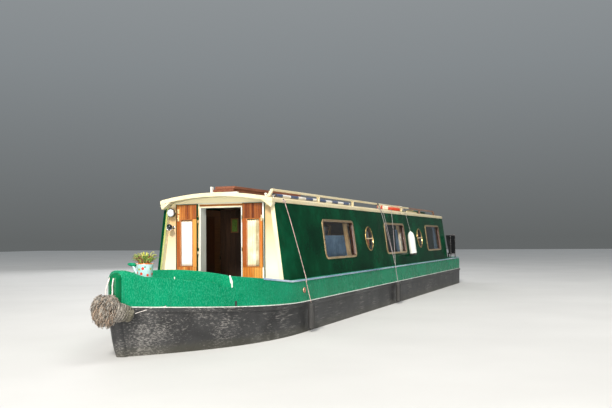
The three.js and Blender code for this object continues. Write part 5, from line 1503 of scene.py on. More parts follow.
def cabin_lining():
    """Boards inside the walls, clear of every window: rows are their start and end, foot and head."""
    low, high = 0.26, 2.19
    foot, head = WINDOW_Z - 0.285, WINDOW_Z + 0.285
    spans = sorted([(x - 0.71, x + 0.71) for x in WINDOW_X] + [(x - 0.21, x + 0.21) for x in PORTHOLE_X])
    edges = [CABIN_REAR_X + 0.10] + [e for span in spans for e in span] + [BULKHEAD_X - 0.07]
    rows = [(a, b, foot, head) for a, b in zip(edges[0::2], edges[1::2])]
    rows += [(edges[0], edges[-1], h0, h1) for h0,
             h1 in ((low, 0.62), (0.622, 0.98), (0.982, foot), (head, high))]
    for side, sign in SIDES.items():
        unit, cells = boxes([(a, b, 0, 1, z0, z1) for a, b, z0, z1 in rows])
        below = unit[:, 2] < GUNWALE_Z
        wall = on_wall(unit[:, 0], unit[:, 2], -0.062 - 0.010 * unit[:, 1], sign)
        hull = np.column_stack([unit[:, 0], sign * (CABIN_FOOT_Y - 0.062 - 0.010 * unit[:, 1]), unit[:, 2]])
        make(f"cabin_lining_{side}", (np.where(below[:, None], hull, wall), cells), PANELLING, "floor_wood",
             bevel=0.002, tones=box_tones(len(rows)), weld=False)
    y = np.linspace(-0.74, 0.74, 19)
    rows = []
    for a, b in zip(y[:-1], y[1:]):
        z = float(roof_z(max(abs(a), abs(b)))) - ROOF_THICK - 0.010
        rows.append((HATCH_FRONT_X + 0.02, BULKHEAD_X - 0.065, a + 0.001, b - 0.001, z, z + 0.006))
    make("ceiling_boards", boxes(rows), CREAM_BOARDS, "cream", bevel=0.0015, tones=box_tones(len(rows)),
         weld=False)


def fore_cabin():
    """What shows through the doorway: a boarded partition with a curtain, a cupboard and a blank frame."""
    x = 3.28
    rows = board_rows(x, x + 0.02, -0.735, -0.30, 0.22, 2.20, 5)
    rows += board_rows(x, x + 0.02, 0.22, 0.735, 0.22, 2.20, 6)
    rows += [(x, x + 0.02, -0.30, 0.22, 2.02, 2.20), (x + 0.02, x + 0.035, -0.34, -0.30, 0.22, 2.06),
             (x + 0.02, x + 0.035, 0.22, 0.26, 0.22, 2.06), (x + 0.02, x + 0.035, -0.34, 0.26, 2.02, 2.06)]
    make("fore_partition", boxes(rows), DARK_BOARDS, "floor_wood", bevel=0.002, tones=box_tones(len(rows)),
         weld=False)
    cupboard = board_rows(3.95, 3.97, -0.74, -0.47, 0.22, 2.05, 3) + [
        (3.97, 4.45, -0.486, -0.47, 0.22, 2.05), (3.95, 4.45, -0.74, -0.47, 2.05, 2.07)]
    make("fore_cupboard", boxes(cupboard), SHADED_BOARDS, "floor_wood", bevel=0.002,
         tones=box_tones(len(cupboard)),
         weld=False)
    make("partition_rail", tube([(x + 0.05, -0.34, 2.0), (x + 0.05, 0.26, 2.0)], 0.008, 12), BRASS, "brass")
    points = rippled(x + 0.05, -0.33, 0.25, 0.30, 1.99, 9, 0.022)
    hang("partition_curtain", points, DARK_CURTAIN)
    y0, y1, z0, z1, x = -0.550, -0.425, 1.850, 2.065, x + 0.021
    in_y0, in_y1, in_z0, in_z1 = y0 + 0.018, y1 - 0.018, z0 + 0.018, z1 - 0.018
    rim = [(x, x + 0.014, y0, y1, in_z1, z1), (x, x + 0.014, y0, y1, z0, in_z0),
           (x, x + 0.014, y0, in_y0, in_z0, in_z1), (x, x + 0.014, in_y1, y1, in_z0, in_z1)]
    make("small_frame", boxes(rim), PANELLING, "varnished_wood", bevel=0.002, weld=False)
    make("small_frame_panel", boxes([(x, x + 0.006, in_y0, in_y1, in_z0, in_z1)]), LEAF_GREEN, "hull_green")


# The stile tones are painted light and shade: the port leaf's hinge-side stile darker, the starboard leaf's
# hinge-side stile lighter.
front_door("port", 1, VARNISH_DEEP, (-1.4, 0.4), CREAM_CURTAIN, 5, 0.007)
front_door("starboard", -1, VARNISH_MID, (1.0, -0.6), NET_CURTAIN, 7, 0.004)
door_furniture()
doorway()
cabin_lining()
fore_cabin()


# Lamp, horn, and a cleat and vent cap on the roof

def lamps():
    """Turned bodies: the headlamp's bowl, lens and band, and the horn's bell."""
    x, y = BULKHEAD_X, -0.702
    bowl = turned([(0.026, 0.0), (0.026, 0.004), (0.015, 0.008), (0.015, 0.022), (0.030, 0.026),
                   (0.045, 0.040),
                   (0.052, 0.060), (0.0525, 0.086), (0.050, 0.091), (0.046, 0.092), (0.044, 0.088),
                   (0.0, 0.088)],
                  (x + 0.0003, y, 2.110), (1, 0, 0), 40)
    make("headlamp_bowl", bowl, CHROME, "chrome", replaces="headlamp", crease=40)
    lens = turned([(0.045, 0.087), (0.0435, 0.0895), (0.034, 0.0935), (0.018, 0.0955), (0.0, 0.096)],
                  (x, y, 2.110), (1, 0, 0), 40)
    # The lens is opaque pale blue-white: painted reflection.
    make("headlamp_lens", lens, LAMP_LENS_REFLECTION, "white_paint", crease=60)
    band = turned([(0.0528, 0.064), (0.0555, 0.066), (0.0555, 0.084), (0.0528, 0.086)], (x, y, 2.110),
                  (1, 0, 0), 40)
    make("headlamp_band", band, BLACK, "black_paint", crease=40)
    bell = turned([(0.020, 0.0), (0.020, 0.004), (0.012, 0.008), (0.012, 0.030), (0.014, 0.045),
                   (0.017, 0.062),
                   (0.024, 0.082), (0.036, 0.100), (0.044, 0.1085), (0.044, 0.110), (0.041, 0.1085),
                   (0.030, 0.098),
                   (0.018, 0.080), (0.010, 0.06), (0.0, 0.06)], (x + 0.0003, y - 0.004, 1.918), (1, 0, 0),
                  36)
    make("horn_bell", bell, DULL_CHROME, "chrome", replaces="horn", crease=50)


def roof_corner():
    """A chrome cleat inside the port rail's foot, and a small white vent cap with a mushroom profile."""
    x, y = 4.50, 0.690
    base = float(roof_z(y)) + 0.0004
    foot = turned([(0.020, -0.002), (0.020, 0.004), (0.009, 0.006), (0.008, 0.018), (0, 0.018)],
                  (x, y, base), steps=24)
    horns = tube(smooth_path([(x, y - 0.044, base + 0.028), (x, y - 0.02, base + 0.021),
                              (x, y, base + 0.020),
                              (x, y + 0.012, base + 0.021), (x, y + 0.028, base + 0.026)], 5),
                 0.0075 - 0.002 * np.abs(np.linspace(-1, 1, 21)), 12)
    make("roof_cleat", joined(foot, horns), CHROME, "chrome", crease=40)
    cap = turned([(0.012, -0.002), (0.012, 0.016), (0.019, 0.018), (0.020, 0.024), (0.014, 0.033),
                  (0.006, 0.037),
                  (0, 0.038)], (4.60, 0.628, float(roof_z(0.628)) + 0.0004), steps=28)
    make("vent_cap", cap, WHITE, "white_paint", crease=50)


# Fenders and their lines

def strand_tubes(paths, radius, sides=4):
    """Many short strands at once: paths is strands by stops by 3, each swept by a small round section."""
    count, stops, _ = paths.shape
    ahead = np.gradient(paths, axis=1)
    ahead /= np.linalg.norm(ahead, axis=2, keepdims=True) + 1e-9
    side = np.cross(ahead, np.broadcast_to([0.31, 0.87, 0.39], ahead.shape))
    side /= np.linalg.norm(side, axis=2, keepdims=True) + 1e-9
    rise = np.cross(side, ahead)
    a = round_turn(sides)[:, None]
    taper = np.sin(np.linspace(0.25, math.pi - 0.25, stops)) ** 0.4
    r = radius * taper[None, :, None, None] * np.ones((count, 1, 1, 1))
    body = paths[:, :, None] + r * (np.cos(a) * side[:, :, None] + np.sin(a) * rise[:, :, None])
    points, faces = many_grids(body, wrap_columns=True)
    size = stops * sides
    faces += [list(range(n * size, n * size + sides)) for n in range(count)]
    faces += [list(range((n + 1) * size - sides, (n + 1) * size)) for n in range(count)]
    return points, faces


def narrowed(offsets):
    """Offsets from the ball's middle, times 0.88 along, 0.86 across and 1.04 upwards."""
    return offsets * [0.88, 0.86, 1.04]


def bow_fender():
    """A ball and two arms of rope: strands lie over the solid, down the ball and along the arms."""
    ball = np.array([STEM_X + 0.095, 0.0, 1.060])
    tip = np.array([STEM_X - 0.090, 0.155, 1.005])
    elbow = np.array([STEM_X + 0.060, 0.070, 1.045])
    shapes = []
    lat = np.linspace(-0.49 * math.pi, 0.49 * math.pi, 20)
    lon = round_turn(36)
    r = 0.142 * (1 + 0.03 * np.sin(9 * lon)[None] * np.cos(lat)[:, None])
    core = ball + narrowed(np.stack([r * np.cos(lat)[:, None] * np.cos(lon),
                                     r * np.cos(lat)[:, None] * np.sin(lon),
                                     r * np.sin(lat)[:, None] * np.ones(36)], -1))
    points, faces = grid(core, wrap_columns=True)
    shapes.append((points, faces + ends(36, len(points))))
    share = np.concatenate([np.linspace(0, 1, 12), 1 + 0.62 * np.sin(np.linspace(0.2, 1.5, 6)) * 0.35])
    for sign in (1, -1):
        t = share[:, None]
        path = (elbow + (tip - elbow) * t) * [1, sign, 1]
        radius = np.where(share < 1, 0.098 - 0.034 * share,
                          0.064 * np.sqrt(np.clip(1 - ((share - 1) / 0.235) ** 2, 0.02, 1)))
        shapes.append(tube(path, radius, 24))
    # The core is near black: painted shade where it shows between the strands.
    make("bow_fender_core", cut_by_bow(joined(*shapes)), COIR_GAP_SHADE, "rope", crease=60)
    count = 1800
    start_lon = rng.uniform(0, 2 * math.pi, count)
    start_lat = rng.uniform(-1.25, 1.05, count)
    stretch = np.linspace(0, 1, 6)[None]
    span = rng.uniform(0.22, 0.5, count)[:, None]
    lat = np.clip(start_lat[:, None] + span * (0.5 - stretch), -1.5, 1.5)
    lon = start_lon[:, None] + rng.normal(0, 0.14, count)[:, None] * stretch
    lon = lon + 0.06 * np.sin(6 * stretch + start_lon[:, None])
    out = 0.143 + rng.uniform(0.0, 0.014, count)[:, None] + 0.004 * np.sin(math.pi * stretch)
    frayed = rng.random(count)[:, None] < 0.28
    out = out + frayed * rng.uniform(0.01, 0.032, count)[:, None] * stretch ** 2
    lump = 1 + 0.045 * np.sin(3.1 * lon + 1.0) * np.cos(2.3 * lat) + 0.03 * np.sin(7 * lon + 5 * lat)
    out = out * lump
    strands = ball + narrowed(np.stack([out * np.cos(lat) * np.cos(lon), out * np.cos(lat) * np.sin(lon),
                                        out * np.sin(lat)], -1))
    warm = rng.random(count) < 0.22 + 0.38 * (np.sin(lat[:, 0]) < 0.1)
    tufts = [("bow_fender_strands", COIR, 0.0032, strands[~warm]),
             ("bow_fender_warm_strands", COIR_WARM, 0.0032, strands[warm])]
    for side, sign in SIDES.items():
        count = 520
        t = rng.uniform(-0.05, 1.12, count)[:, None] + (stretch - 0.5) * 0.12
        angle = rng.uniform(0, 2 * math.pi, count)[:, None]
        angle = angle + (stretch - 0.5) * rng.normal(1.0, 0.6, count)[:, None]
        middle = elbow + (tip - elbow) * np.clip(t, -0.2, 1.05)[..., None]
        along = (tip - elbow) / np.linalg.norm(tip - elbow)
        across = np.cross(along, [0, 0, 1.0])
        across /= np.linalg.norm(across)
        rise = np.cross(across, along)
        thick = 0.100 - 0.034 * np.clip(t, 0, 1) - 0.09 * np.clip(t - 0.98, 0, 1)
        thick = thick + rng.uniform(0.0, 0.011, count)[:, None]
        round_arm = np.cos(angle)[..., None] * across + np.sin(angle)[..., None] * rise
        path = middle + thick[..., None] * round_arm
        path = path * [1, sign, 1]
        near_ball = t[:, 0] < rng.uniform(0.0, 0.9, count)
        tufts.append((f"bow_fender_root_strands_{side}", COIR, 0.0036, path[near_ball]))
        tufts.append((f"bow_fender_arm_strands_{side}", COIR_GREEN, 0.0036, path[~near_ball]))
    for name, finish, radius, paths in tufts:
        clear = outside_bow(paths.reshape(-1, 3), 0.010).reshape(len(paths), -1).all(axis=1)
        paths = paths[clear]
        stands_for = "bow_fender" if name == "bow_fender_strands" else None
        make(name, strand_tubes(paths, radius), finish, "rope", replaces=stands_for, weld=False, crease=180,
             tones=np.repeat(rng.random(len(paths)) * 1.4, 24))


def bow_outline(aft, extra=0.0):
    """Half breadth of the bow at its strake, with a round nose; extra grows it all round."""
    side = HALF_BEAM * (1 - (1 - aft / BOW_LENGTH) ** BOW_FULLNESS) + STRAKE_OUT + extra
    nose = np.sqrt(np.clip(1 - ((NOSE - aft) / (NOSE + STRAKE_OUT)) ** 2, 0, 1))
    return np.where(aft < NOSE, (0.083 + extra) * nose, side)


def outside_bow(points, clearance):
    """Whether each point lies outside the bow's strake line by a clearance."""
    nose = bow_outline(np.clip(STEM_X - points[:, 0], 0, None))
    ahead = points[:, 0] > STEM_X + STRAKE_OUT + clearance * 0.3
    return (np.abs(points[:, 1]) > nose + clearance) | ahead


def cut_by_bow(shape):
    """Points inside the bow are moved out to its side, and those by the nose forward of it."""
    points, faces = shape
    aft = np.clip(STEM_X - points[:, 0], 0, None)
    y = np.abs(points[:, 1])
    front = STEM_X + STRAKE_OUT + 0.001
    nose = bow_outline(aft, 0.003)
    inside = (y < nose) & (points[:, 0] < front)
    by_nose = inside & (aft < 0.035) & (y < 0.05)
    beside = inside & ~by_nose
    moved = points.copy()
    moved[beside, 1] = (np.where(points[:, 1] >= 0, 1.0, -1.0) * nose)[beside]
    moved[by_nose, 0] = front
    return moved, faces


def bow_ropes():
    """Two short ropes from the stem head to the fender, and a thin stay from each arm back to the side."""
    stops = (((6.944, -0.030, 1.376), (6.979, -0.030, 1.310), (7.004, -0.030, 1.243),
              (7.010, -0.030, 1.185)),
             ((6.952, 0.024, 1.372), (6.972, 0.026, 1.300), (6.976, 0.028, 1.215), (7.000, 0.030, 1.170)))
    for number, stop in enumerate(stops, 1):
        rope = smooth_path(stop, 8)
        make(f"fender_rope_{number}", laid_rope(rope, 0.008, 0.045), PALE_ROPE, "rope", crease=180)
    start_at = np.array([STEM_X - 0.115, 0.205, 1.012])
    end_x = STEM_X - 0.43
    end_at = np.array([end_x, float(breadth_at(end_x, 1.06)) + 0.004, 1.06])
    middle = (start_at + end_at) / 2
    middle[1] = float(breadth_at(middle[0], 1.03)) + 0.010
    make_pair("fender_stay", tube(smooth_path([start_at, middle, end_at], 8), 0.0035, 8), PALE_ROPE, "rope")
    eye = turned([(0.012, 0.0), (0.012, 0.003), (0.006, 0.006), (0.0, 0.006)],
                 (end_x, end_at[1] - 0.006, 1.06),
                 (0.25, 1, 0), 16)
    make_pair("stay_eye", eye, CHROME, "chrome")


def side_fender(name, node_name, x, top_x, tie, over_x, line_finish, second_leg=None):
    """A turned fender on a laid line over the gunwale and the roof's edge, tied round the handrail."""
    low, high, r = 0.590, 0.930, 0.045
    over_edge = tie > 2.28
    y = HALF_BEAM + STRAKE_OUT + r + 0.003
    body = turned([(0.0, 0.0), (0.026, 0.0), (0.036, 0.006), (0.043, 0.018), (r, 0.034), (r, 0.300),
                   (0.043, 0.318),
                   (0.036, 0.330), (0.024, 0.337), (0.012, 0.340), (0.0, 0.340)], (x, y, low), steps=28)
    bands = [turned([(r - 0.001, h - 0.006), (r + 0.003, h - 0.004), (r + 0.003, h + 0.004),
                     (r - 0.001, h + 0.006)],
                    (x, y, low), steps=28) for h in (0.060, 0.170, 0.280)]
    make(name, joined(body, *bands), RUBBER, "black_paint", replaces=node_name, crease=40)
    over_gunwale = [(over_x, HALF_BEAM + 0.020, GUNWALE_Z + 0.022),
                    (over_x, HALF_BEAM + 0.024, GUNWALE_Z - 0.03),
                    (x, y, high - 0.004)]

    def leg(at_roof):
        """The line's route down from one place on the roof's edge."""
        start = [(at_roof, ROOF_HALF - 0.012, 2.290),
                 (at_roof, ROOF_HALF + 0.010, 2.276)] if over_edge else []
        return smooth_path([*start, (at_roof, ROOF_HALF + 0.018, 2.24),
                            (at_roof * 0.6 + over_x * 0.4, 0.93, 1.84),
                            *over_gunwale], 10)
    make(name + "_line", laid_rope(leg(top_x), 0.0055, 0.04), line_finish, "rope", crease=180)
    at_y = ROOF_HALF - 0.012 if over_edge else ROOF_HALF + 0.016
    k = np.arange(6)
    wound = np.column_stack([top_x + np.linspace(-0.02, 0.02, 6), at_y - 0.006 + 0.012 * np.sin(2.2 * k),
                             tie + 0.003 + 0.006 * np.cos(1.7 * k)])
    knot = [laid_rope(smooth_path(wound, 5), 0.0055, 0.03)]
    turn = round_turn(14)
    for shift in (-0.009, 0.004):
        knot.append(tube(np.column_stack([np.full(14, top_x + shift), at_y + 0.015 * np.cos(turn),
                                          tie + 0.012 * np.sin(turn)]), 0.005, 8, closed=True))
    make(name + "_knot", joined(*knot), line_finish, "rope", crease=180)
    if over_edge:
        seat = float(roof_z(0.79))
        plate = (top_x - 0.022, top_x + 0.022, ROOF_HALF - 0.034, ROOF_HALF - 0.008, seat - 0.004,
                 seat + 0.002)
    else:
        plate = (top_x - 0.020, top_x + 0.020, ROOF_HALF - 0.002, ROOF_HALF + 0.003, tie - 0.004,
                 tie + 0.030)
    make(name + "_eye_plate", boxes([plate]), CHROME, "chrome", bevel=0.001)
    if second_leg is not None:
        make(name + "_second_line", laid_rope(leg(second_leg)[:-1], 0.0048, 0.04), line_finish, "rope",
             crease=180)
        make(name + "_third_line", laid_rope(leg(top_x - 0.16)[:-1] + [0.012, 0, 0], 0.0040, 0.04),
             line_finish, "rope",
             crease=180)
        loops = []
        for shift in (-0.034, -0.020, -0.006, 0.010):
            loops.append(tube(np.column_stack([top_x + shift + 0.006 * np.sin(turn),
                                               HANDRAIL_Y + 0.0275 * np.cos(turn),
                                               HANDRAIL_Z - 0.014 + 0.0215 * np.sin(turn)]), 0.0062, 8,
                              closed=True))
        tail = smooth_path([(top_x - 0.012, HANDRAIL_Y + 0.027, HANDRAIL_Z - 0.02),
                            (top_x - 0.03, ROOF_HALF - 0.01, 2.315),
                            (top_x - 0.02, ROOF_HALF + 0.012, 2.26),
                            (top_x - 0.05, ROOF_HALF + 0.030, 2.17)], 8)
        make(name + "_hitch", joined(*loops, tube(tail, 0.006, 8)), DARK_LINE, "rope", crease=180)


OUTLET_X, OUTLET_Z = 4.344, 1.096
DRAIN_X, DRAIN_Z = (5.752, 5.778), (1.006, 1.066)
PEG_X = 6.433


def side_fittings():
    """On each side: a turned outlet above the strake, a drain slot, and a peg on the bow's edge."""
    ring = turned([(0.018, -0.01), (0.018, 0.004), (0.024, 0.010), (0.034, 0.009), (0.037, 0.003),
                   (0.037, -0.001)],
                  (OUTLET_X, float(breadth_at(OUTLET_X, OUTLET_Z)), OUTLET_Z), (0, 1, 0), 28)
    make_pair("outlet", ring, COPPER, "brass", crease=50)
    slot, cells = boxes([(*DRAIN_X, 0.0, 1.0, *DRAIN_Z)])
    slot[:, 1] = breadth_at(slot[:, 0], 1.03) - 0.002 + 0.0045 * slot[:, 1]
    make_pair("drain", (slot, cells), BLACK, "black_paint", bevel=0.002)
    peg = turned([(0, -0.02), (0.0045, -0.02), (0.0045, 0.016), (0.006, 0.018), (0.006, 0.024), (0, 0.026)],
                 (PEG_X, float(breadth_at(PEG_X, 1.33)) - 0.010, 1.338), steps=16)
    make_pair("edge_peg", peg, WHITE, "white_paint", crease=50)


def cabin_fender():
    """A soft white fender against the cabin side: a turned form with a pointed head and a dark foot."""
    x = CABIN_FRONT_X - 6.435
    low = GUNWALE_Z + 0.165
    y = CABIN_FOOT_Y - (low - GUNWALE_Z) * CABIN_LEAN + 0.078
    lean = math.atan(CABIN_LEAN)
    axis = (0, -math.sin(lean), math.cos(lean))
    a = np.linspace(0, math.pi / 2, 10)
    dome = np.column_stack([0.070 * np.cos(a) ** 0.8, 0.330 + 0.150 * np.sin(a)])
    foot = [(0.0, 0.0), (0.045, 0.0), (0.060, 0.006), (0.067, 0.018), (0.069, 0.034), (0.070, 0.040)]
    body = turned(np.concatenate([foot, dome[:-1], [(0.014, 0.480), (0.012, 0.490), (0.0, 0.490)]]),
                  (x, y, low), axis, 32)
    rows = np.arange(len(body[1])) // 32
    make("cabin_fender_body", body, [WHITE, RUBBER], "white_paint", replaces="cabin_fender",
         which=(rows < 5).astype(int), crease=50)
    top = np.array([x, y, low]) + 0.488 * np.array(axis)
    line = smooth_path([top, (x, ROOF_HALF + 0.012, 2.268), (x, ROOF_HALF - 0.01, 2.288),
                        (x, HANDRAIL_Y + 0.028, HANDRAIL_Z - 0.03)], 8)
    make("cabin_fender_line", tube(line, 0.003, 8), GREY_ROPE, "rope")


# Watering can planted with leaves

def watering_can():
    """An enamel can: turned body with an orange rim, a spout swept from low on its side, a green rose, and
    painted spots.
    """
    x, y = STEM_X - 0.430, 0.105
    low = float(deck_edge_z(0.350)) + DECK_CAMBER - 0.0037
    profile = [(0.0, 0.0), (0.078, 0.0), (0.080, 0.003), (0.080, 0.012), (0.082, 0.016), (0.0885, 0.150),
               (0.092, 0.156), (0.092, 0.163), (0.089, 0.165), (0.086, 0.160), (0.078, 0.050), (0.0, 0.050)]
    make("can_body", turned(profile, (x, y, low), steps=48), CAN_ENAMEL, "white_paint",
         replaces="watering_can",
         crease=30)
    rim = turned([(0.090, 0.158), (0.0945, 0.160), (0.0945, 0.167), (0.090, 0.169), (0.086, 0.167),
                  (0.086, 0.160)],
                 (x, y, low), steps=48)
    make("can_rim", rim, ORANGE_ENAMEL, "lifebuoy_red", crease=60)
    spout = smooth_path([(x + 0.010, y - 0.070, low + 0.035), (x + 0.022, y - 0.095, low + 0.075),
                         (x + 0.030, y - 0.110, low + 0.115), (x + 0.034, y - 0.122, low + 0.145)], 6)
    make("can_spout", tube(spout, np.linspace(0.017, 0.012, len(spout)), 16), CAN_ENAMEL, "white_paint")
    rose = turned([(0.0, 0.0), (0.016, 0.004), (0.020, 0.020), (0.021, 0.050), (0.016, 0.085),
                   (0.007, 0.102), (0.0, 0.104)],
                  (x + 0.026, y - 0.086, low + 0.149), (0.14, -0.96, 0.10), 28)
    make("can_rose", rose, HULL_GREEN, "hull_green", crease=60)
    spots = [(0.35, 0.115, 0.016, 0), (0.15, 0.060, 0.015, 0), (0.95, 0.045, 0.014, 0),
             (-0.15, 0.105, 0.012, 1),
             (0.62, 0.130, 0.009, 2), (1.35, 0.110, 0.012, 1), (1.7, 0.055, 0.014, 0),
             (-0.6, 0.07, 0.013, 0)]
    for number, (turn, height, size, kind) in enumerate(spots):
        out = np.array([math.cos(turn), math.sin(turn), -0.06])
        r = 0.0815 + (height - 0.016) / 0.134 * 0.0068
        spot = studs([np.array([x, y, low + height]) + r * out * [1, 1, 0]], out, size, 0.0012, 14)
        make(f"can_spot_{number + 1}", spot, (RED, LEAF_YELLOW, HULL_GREEN)[kind], "lifebuoy_red",
             weld=False)


def leaves():
    """Each leaf is a strip that bends over: its width is a sine of its length, its height an arc."""
    x, y = STEM_X - 0.430, 0.108
    low = float(deck_edge_z(0.350)) + DECK_CAMBER - 0.0037 + 0.150
    soil = turned([(0.0, 0.0), (0.084, 0.0), (0.084, 0.006), (0.05, 0.016), (0.0, 0.020)],
                  (x, y - 0.003, low - 0.008),
                  steps=28)
    make("can_soil", soil, SOIL, "floor_wood")
    for name, finish, count, reach, rise, width in (("leaves_green", LEAF_GREEN, 70, (0.04, 0.11),
                                                     (0.05, 0.11), 0.011),
                                                    ("leaves_yellow", LEAF_YELLOW, 42, (0.03, 0.10),
                                                     (0.06, 0.14), 0.007),
                                                    ("leaves_russet", LEAF_RUSSET, 72, (0.03, 0.10),
                                                     (0.03, 0.10), 0.010)):
        turn = rng.uniform(0, 2 * math.pi, count)[:, None, None]
        root = rng.uniform(0.005, 0.055, count)[:, None, None]
        out = rng.uniform(*reach, count)[:, None, None]
        up = rng.uniform(*rise, count)[:, None, None]
        t = np.linspace(0, 1, 7)[None, :, None]
        w = np.array([-1.0, 0.0, 1.0])[None, None]
        half = width * np.sin(math.pi * np.clip(t * 0.92 + 0.06, 0, 1))
        half = half * rng.uniform(0.7, 1.2, count)[:, None, None]
        distance = root + out * t
        height = up * np.sin(math.pi * 0.62 * t) + 0.004 * np.abs(w)
        side = half * w
        body = np.stack([x + distance * np.cos(turn) - side * np.sin(turn),
                         y + distance * np.sin(turn) + side * np.cos(turn), low + height + 0 * side], -1)
        piece = make(name, many_grids(body), finish, "hull_green", weld=False, crease=180,
                     tones=np.repeat(rng.random(count), 21))
        thickened(piece, 0.0007)


lamps()
roof_corner()
bow_fender()
bow_ropes()
side_fender("fender_fore", "side_fender_fore", 4.270, 4.465, 2.236, 4.330, PINK_ROPE)
side_fender("fender_aft", "side_fender_aft", -0.030, 0.070, 2.294, -0.030, GREY_ROPE, second_leg=-0.65)
side_fittings()
cabin_fender()
watering_can()
leaves()


# Stern: side screens, tiller, rear doors and deck

def stern_screens():
    """A bent tube frame at each side of the stern, with dark cloth laced tight inside it, and a dark cloth
    wing from the frame towards the cabin's corner: a painted shadow on the cabin's rear end.
    """
    x0, x1, y, low, high, r = -6.100, -5.510, HALF_BEAM - 0.043, 1.323, 1.825, 0.011
    bend = 0.05
    a = np.linspace(0, math.pi / 2, 7)
    corner = np.column_stack([x1 - r - bend + bend * np.cos(a), np.full(7, y),
                              high - r - bend + bend * np.sin(a)])
    mirror = corner[::-1] * [-1, 1, 1] + [x0 + x1, 0, 0]
    post = np.array([[x1 - r, y, z] for z in (GUNWALE_Z + 0.0005, 1.4, 1.6)])
    frame_path = np.concatenate([post, corner, mirror, post[::-1] * [-1, 1, 1] + [x0 + x1, 0, 0]])
    bar = tube([(x0 + r, y, low), (x1 - r, y, low)], 0.009, 12)
    feet = [turned([(0, 0), (0.026, 0), (0.026, 0.004), (0.014, 0.010), (0.014, 0.022), (0, 0.022)],
                   (x, y, GUNWALE_Z + 0.0003), steps=20) for x in (x0 + r, x1 - r)]
    u = np.linspace(0, 1, 31)[None]
    v = np.linspace(0, 1, 23)[:, None]
    inset = 0.012
    width, height = x1 - x0 - 2 * r - 2 * inset, high - low - r - 2 * inset
    sag = 0.004 * np.sin(math.pi * u) * np.sin(math.pi * v) + 0.0015 * np.sin(9 * u + 5 * v)
    left, right, foot = x0 + r + inset, x1 - r - inset, low + inset
    panel = np.stack([left + width * u + 0 * v, y + sag, foot + height * v + 0 * u], -1)
    u, v = np.linspace(0, 1, 9)[None], np.linspace(0, 1, 17)[:, None]
    shadow_wing = np.stack([x1 - r - 0.002 + 0.030 * u + 0 * v,
                     y + 0.0015 - (0.045 + 0.070 * v) * u + 0.003 * np.sin(7 * v) * u,
                     foot + height * v + 0 * u], -1)
    lacing = []
    for t in np.linspace(0.04, 0.96, 9):
        lacing += [((left + width * t, high - r - inset), (0, 1)), ((left + width * t, foot), (0, -1))]
    for t in np.linspace(0.08, 0.92, 7):
        lacing += [((right, foot + height * t), (1, 0)), ((left, foot + height * t), (-1, 0))]
    loops = []
    a = round_turn(10)
    for (px, pz), (dx, dz) in lacing:
        middle = np.array([px + 0.006 * dx, y, pz + 0.006 * dz])
        ring = middle + np.column_stack([0.016 * np.cos(a) * dx, 0.013 * np.sin(a), 0.016 * np.cos(a) * dz])
        loops.append(tube(ring, 0.0018, 5, closed=True))
    for side, sign in SIDES.items():
        make(f"screen_frame_{side}", on_side(joined(tube(frame_path, r, 14), bar, *feet), sign), BLACK,
             "black_paint",
             replaces=f"stern_screen_{side}", crease=40)
        for name, cloth_points in (("screen_cloth", panel), ("screen_shadow_wing", shadow_wing)):
            hang(f"{name}_{side}", cloth_points * [1, sign, 1], SCREEN_CLOTH)
    make_pair("screen_lacing", joined(*loops), GREY_ROPE, "rope", weld=False)


def tiller():
    """A swan neck swept along a smooth curve, with a socket, a turned wooden grip and a ferrule."""
    stops = np.array([(0, 1.378), (0, 1.42), (0.03, 1.64), (0.11, 1.85), (0.21, 2.01), (0.33, 2.085),
                      (0.56, 2.11),
                      (0.775, 2.1235)])
    path = smooth_path(np.column_stack([RUDDER_X + stops[:, 0], np.zeros(8), stops[:, 1]]), 6)
    neck = tube(path, 0.0165, 20)
    foot = GUNWALE_Z + 0.0703
    socket = turned([(0, 0), (0.029, 0), (0.030, 0.004), (0.030, 0.012), (0.026, 0.016), (0.026, 0.062),
                     (0.030, 0.067),
                     (0.030, 0.076), (0.026, 0.080), (0.0, 0.080)], (RUDDER_X, 0, foot))
    make("tiller_neck", joined(neck, socket), BRASS, "brass", body="rudder", replaces="tiller", crease=40)
    along = np.array([0.130, 0, 0.008])
    grip = turned([(0.0, 0.0), (0.0165, 0.001), (0.0185, 0.012), (0.0175, 0.03), (0.0185, 0.07),
                   (0.0175, 0.105),
                   (0.0145, 0.122), (0.009, 0.129), (0.0, 0.130)], (RUDDER_X + 0.770, 0, 2.123), along, 28)
    make("tiller_grip", grip, VARNISH_LONG, "varnished_wood", body="rudder", crease=60)
    ferrule = turned([(0.016, -0.004), (0.0195, -0.003), (0.0195, 0.010), (0.0175, 0.012)],
                     (RUDDER_X + 0.770, 0, 2.123),
                     along, 28)
    make("tiller_ferrule", ferrule, BRASS, "brass", body="rudder", crease=40)


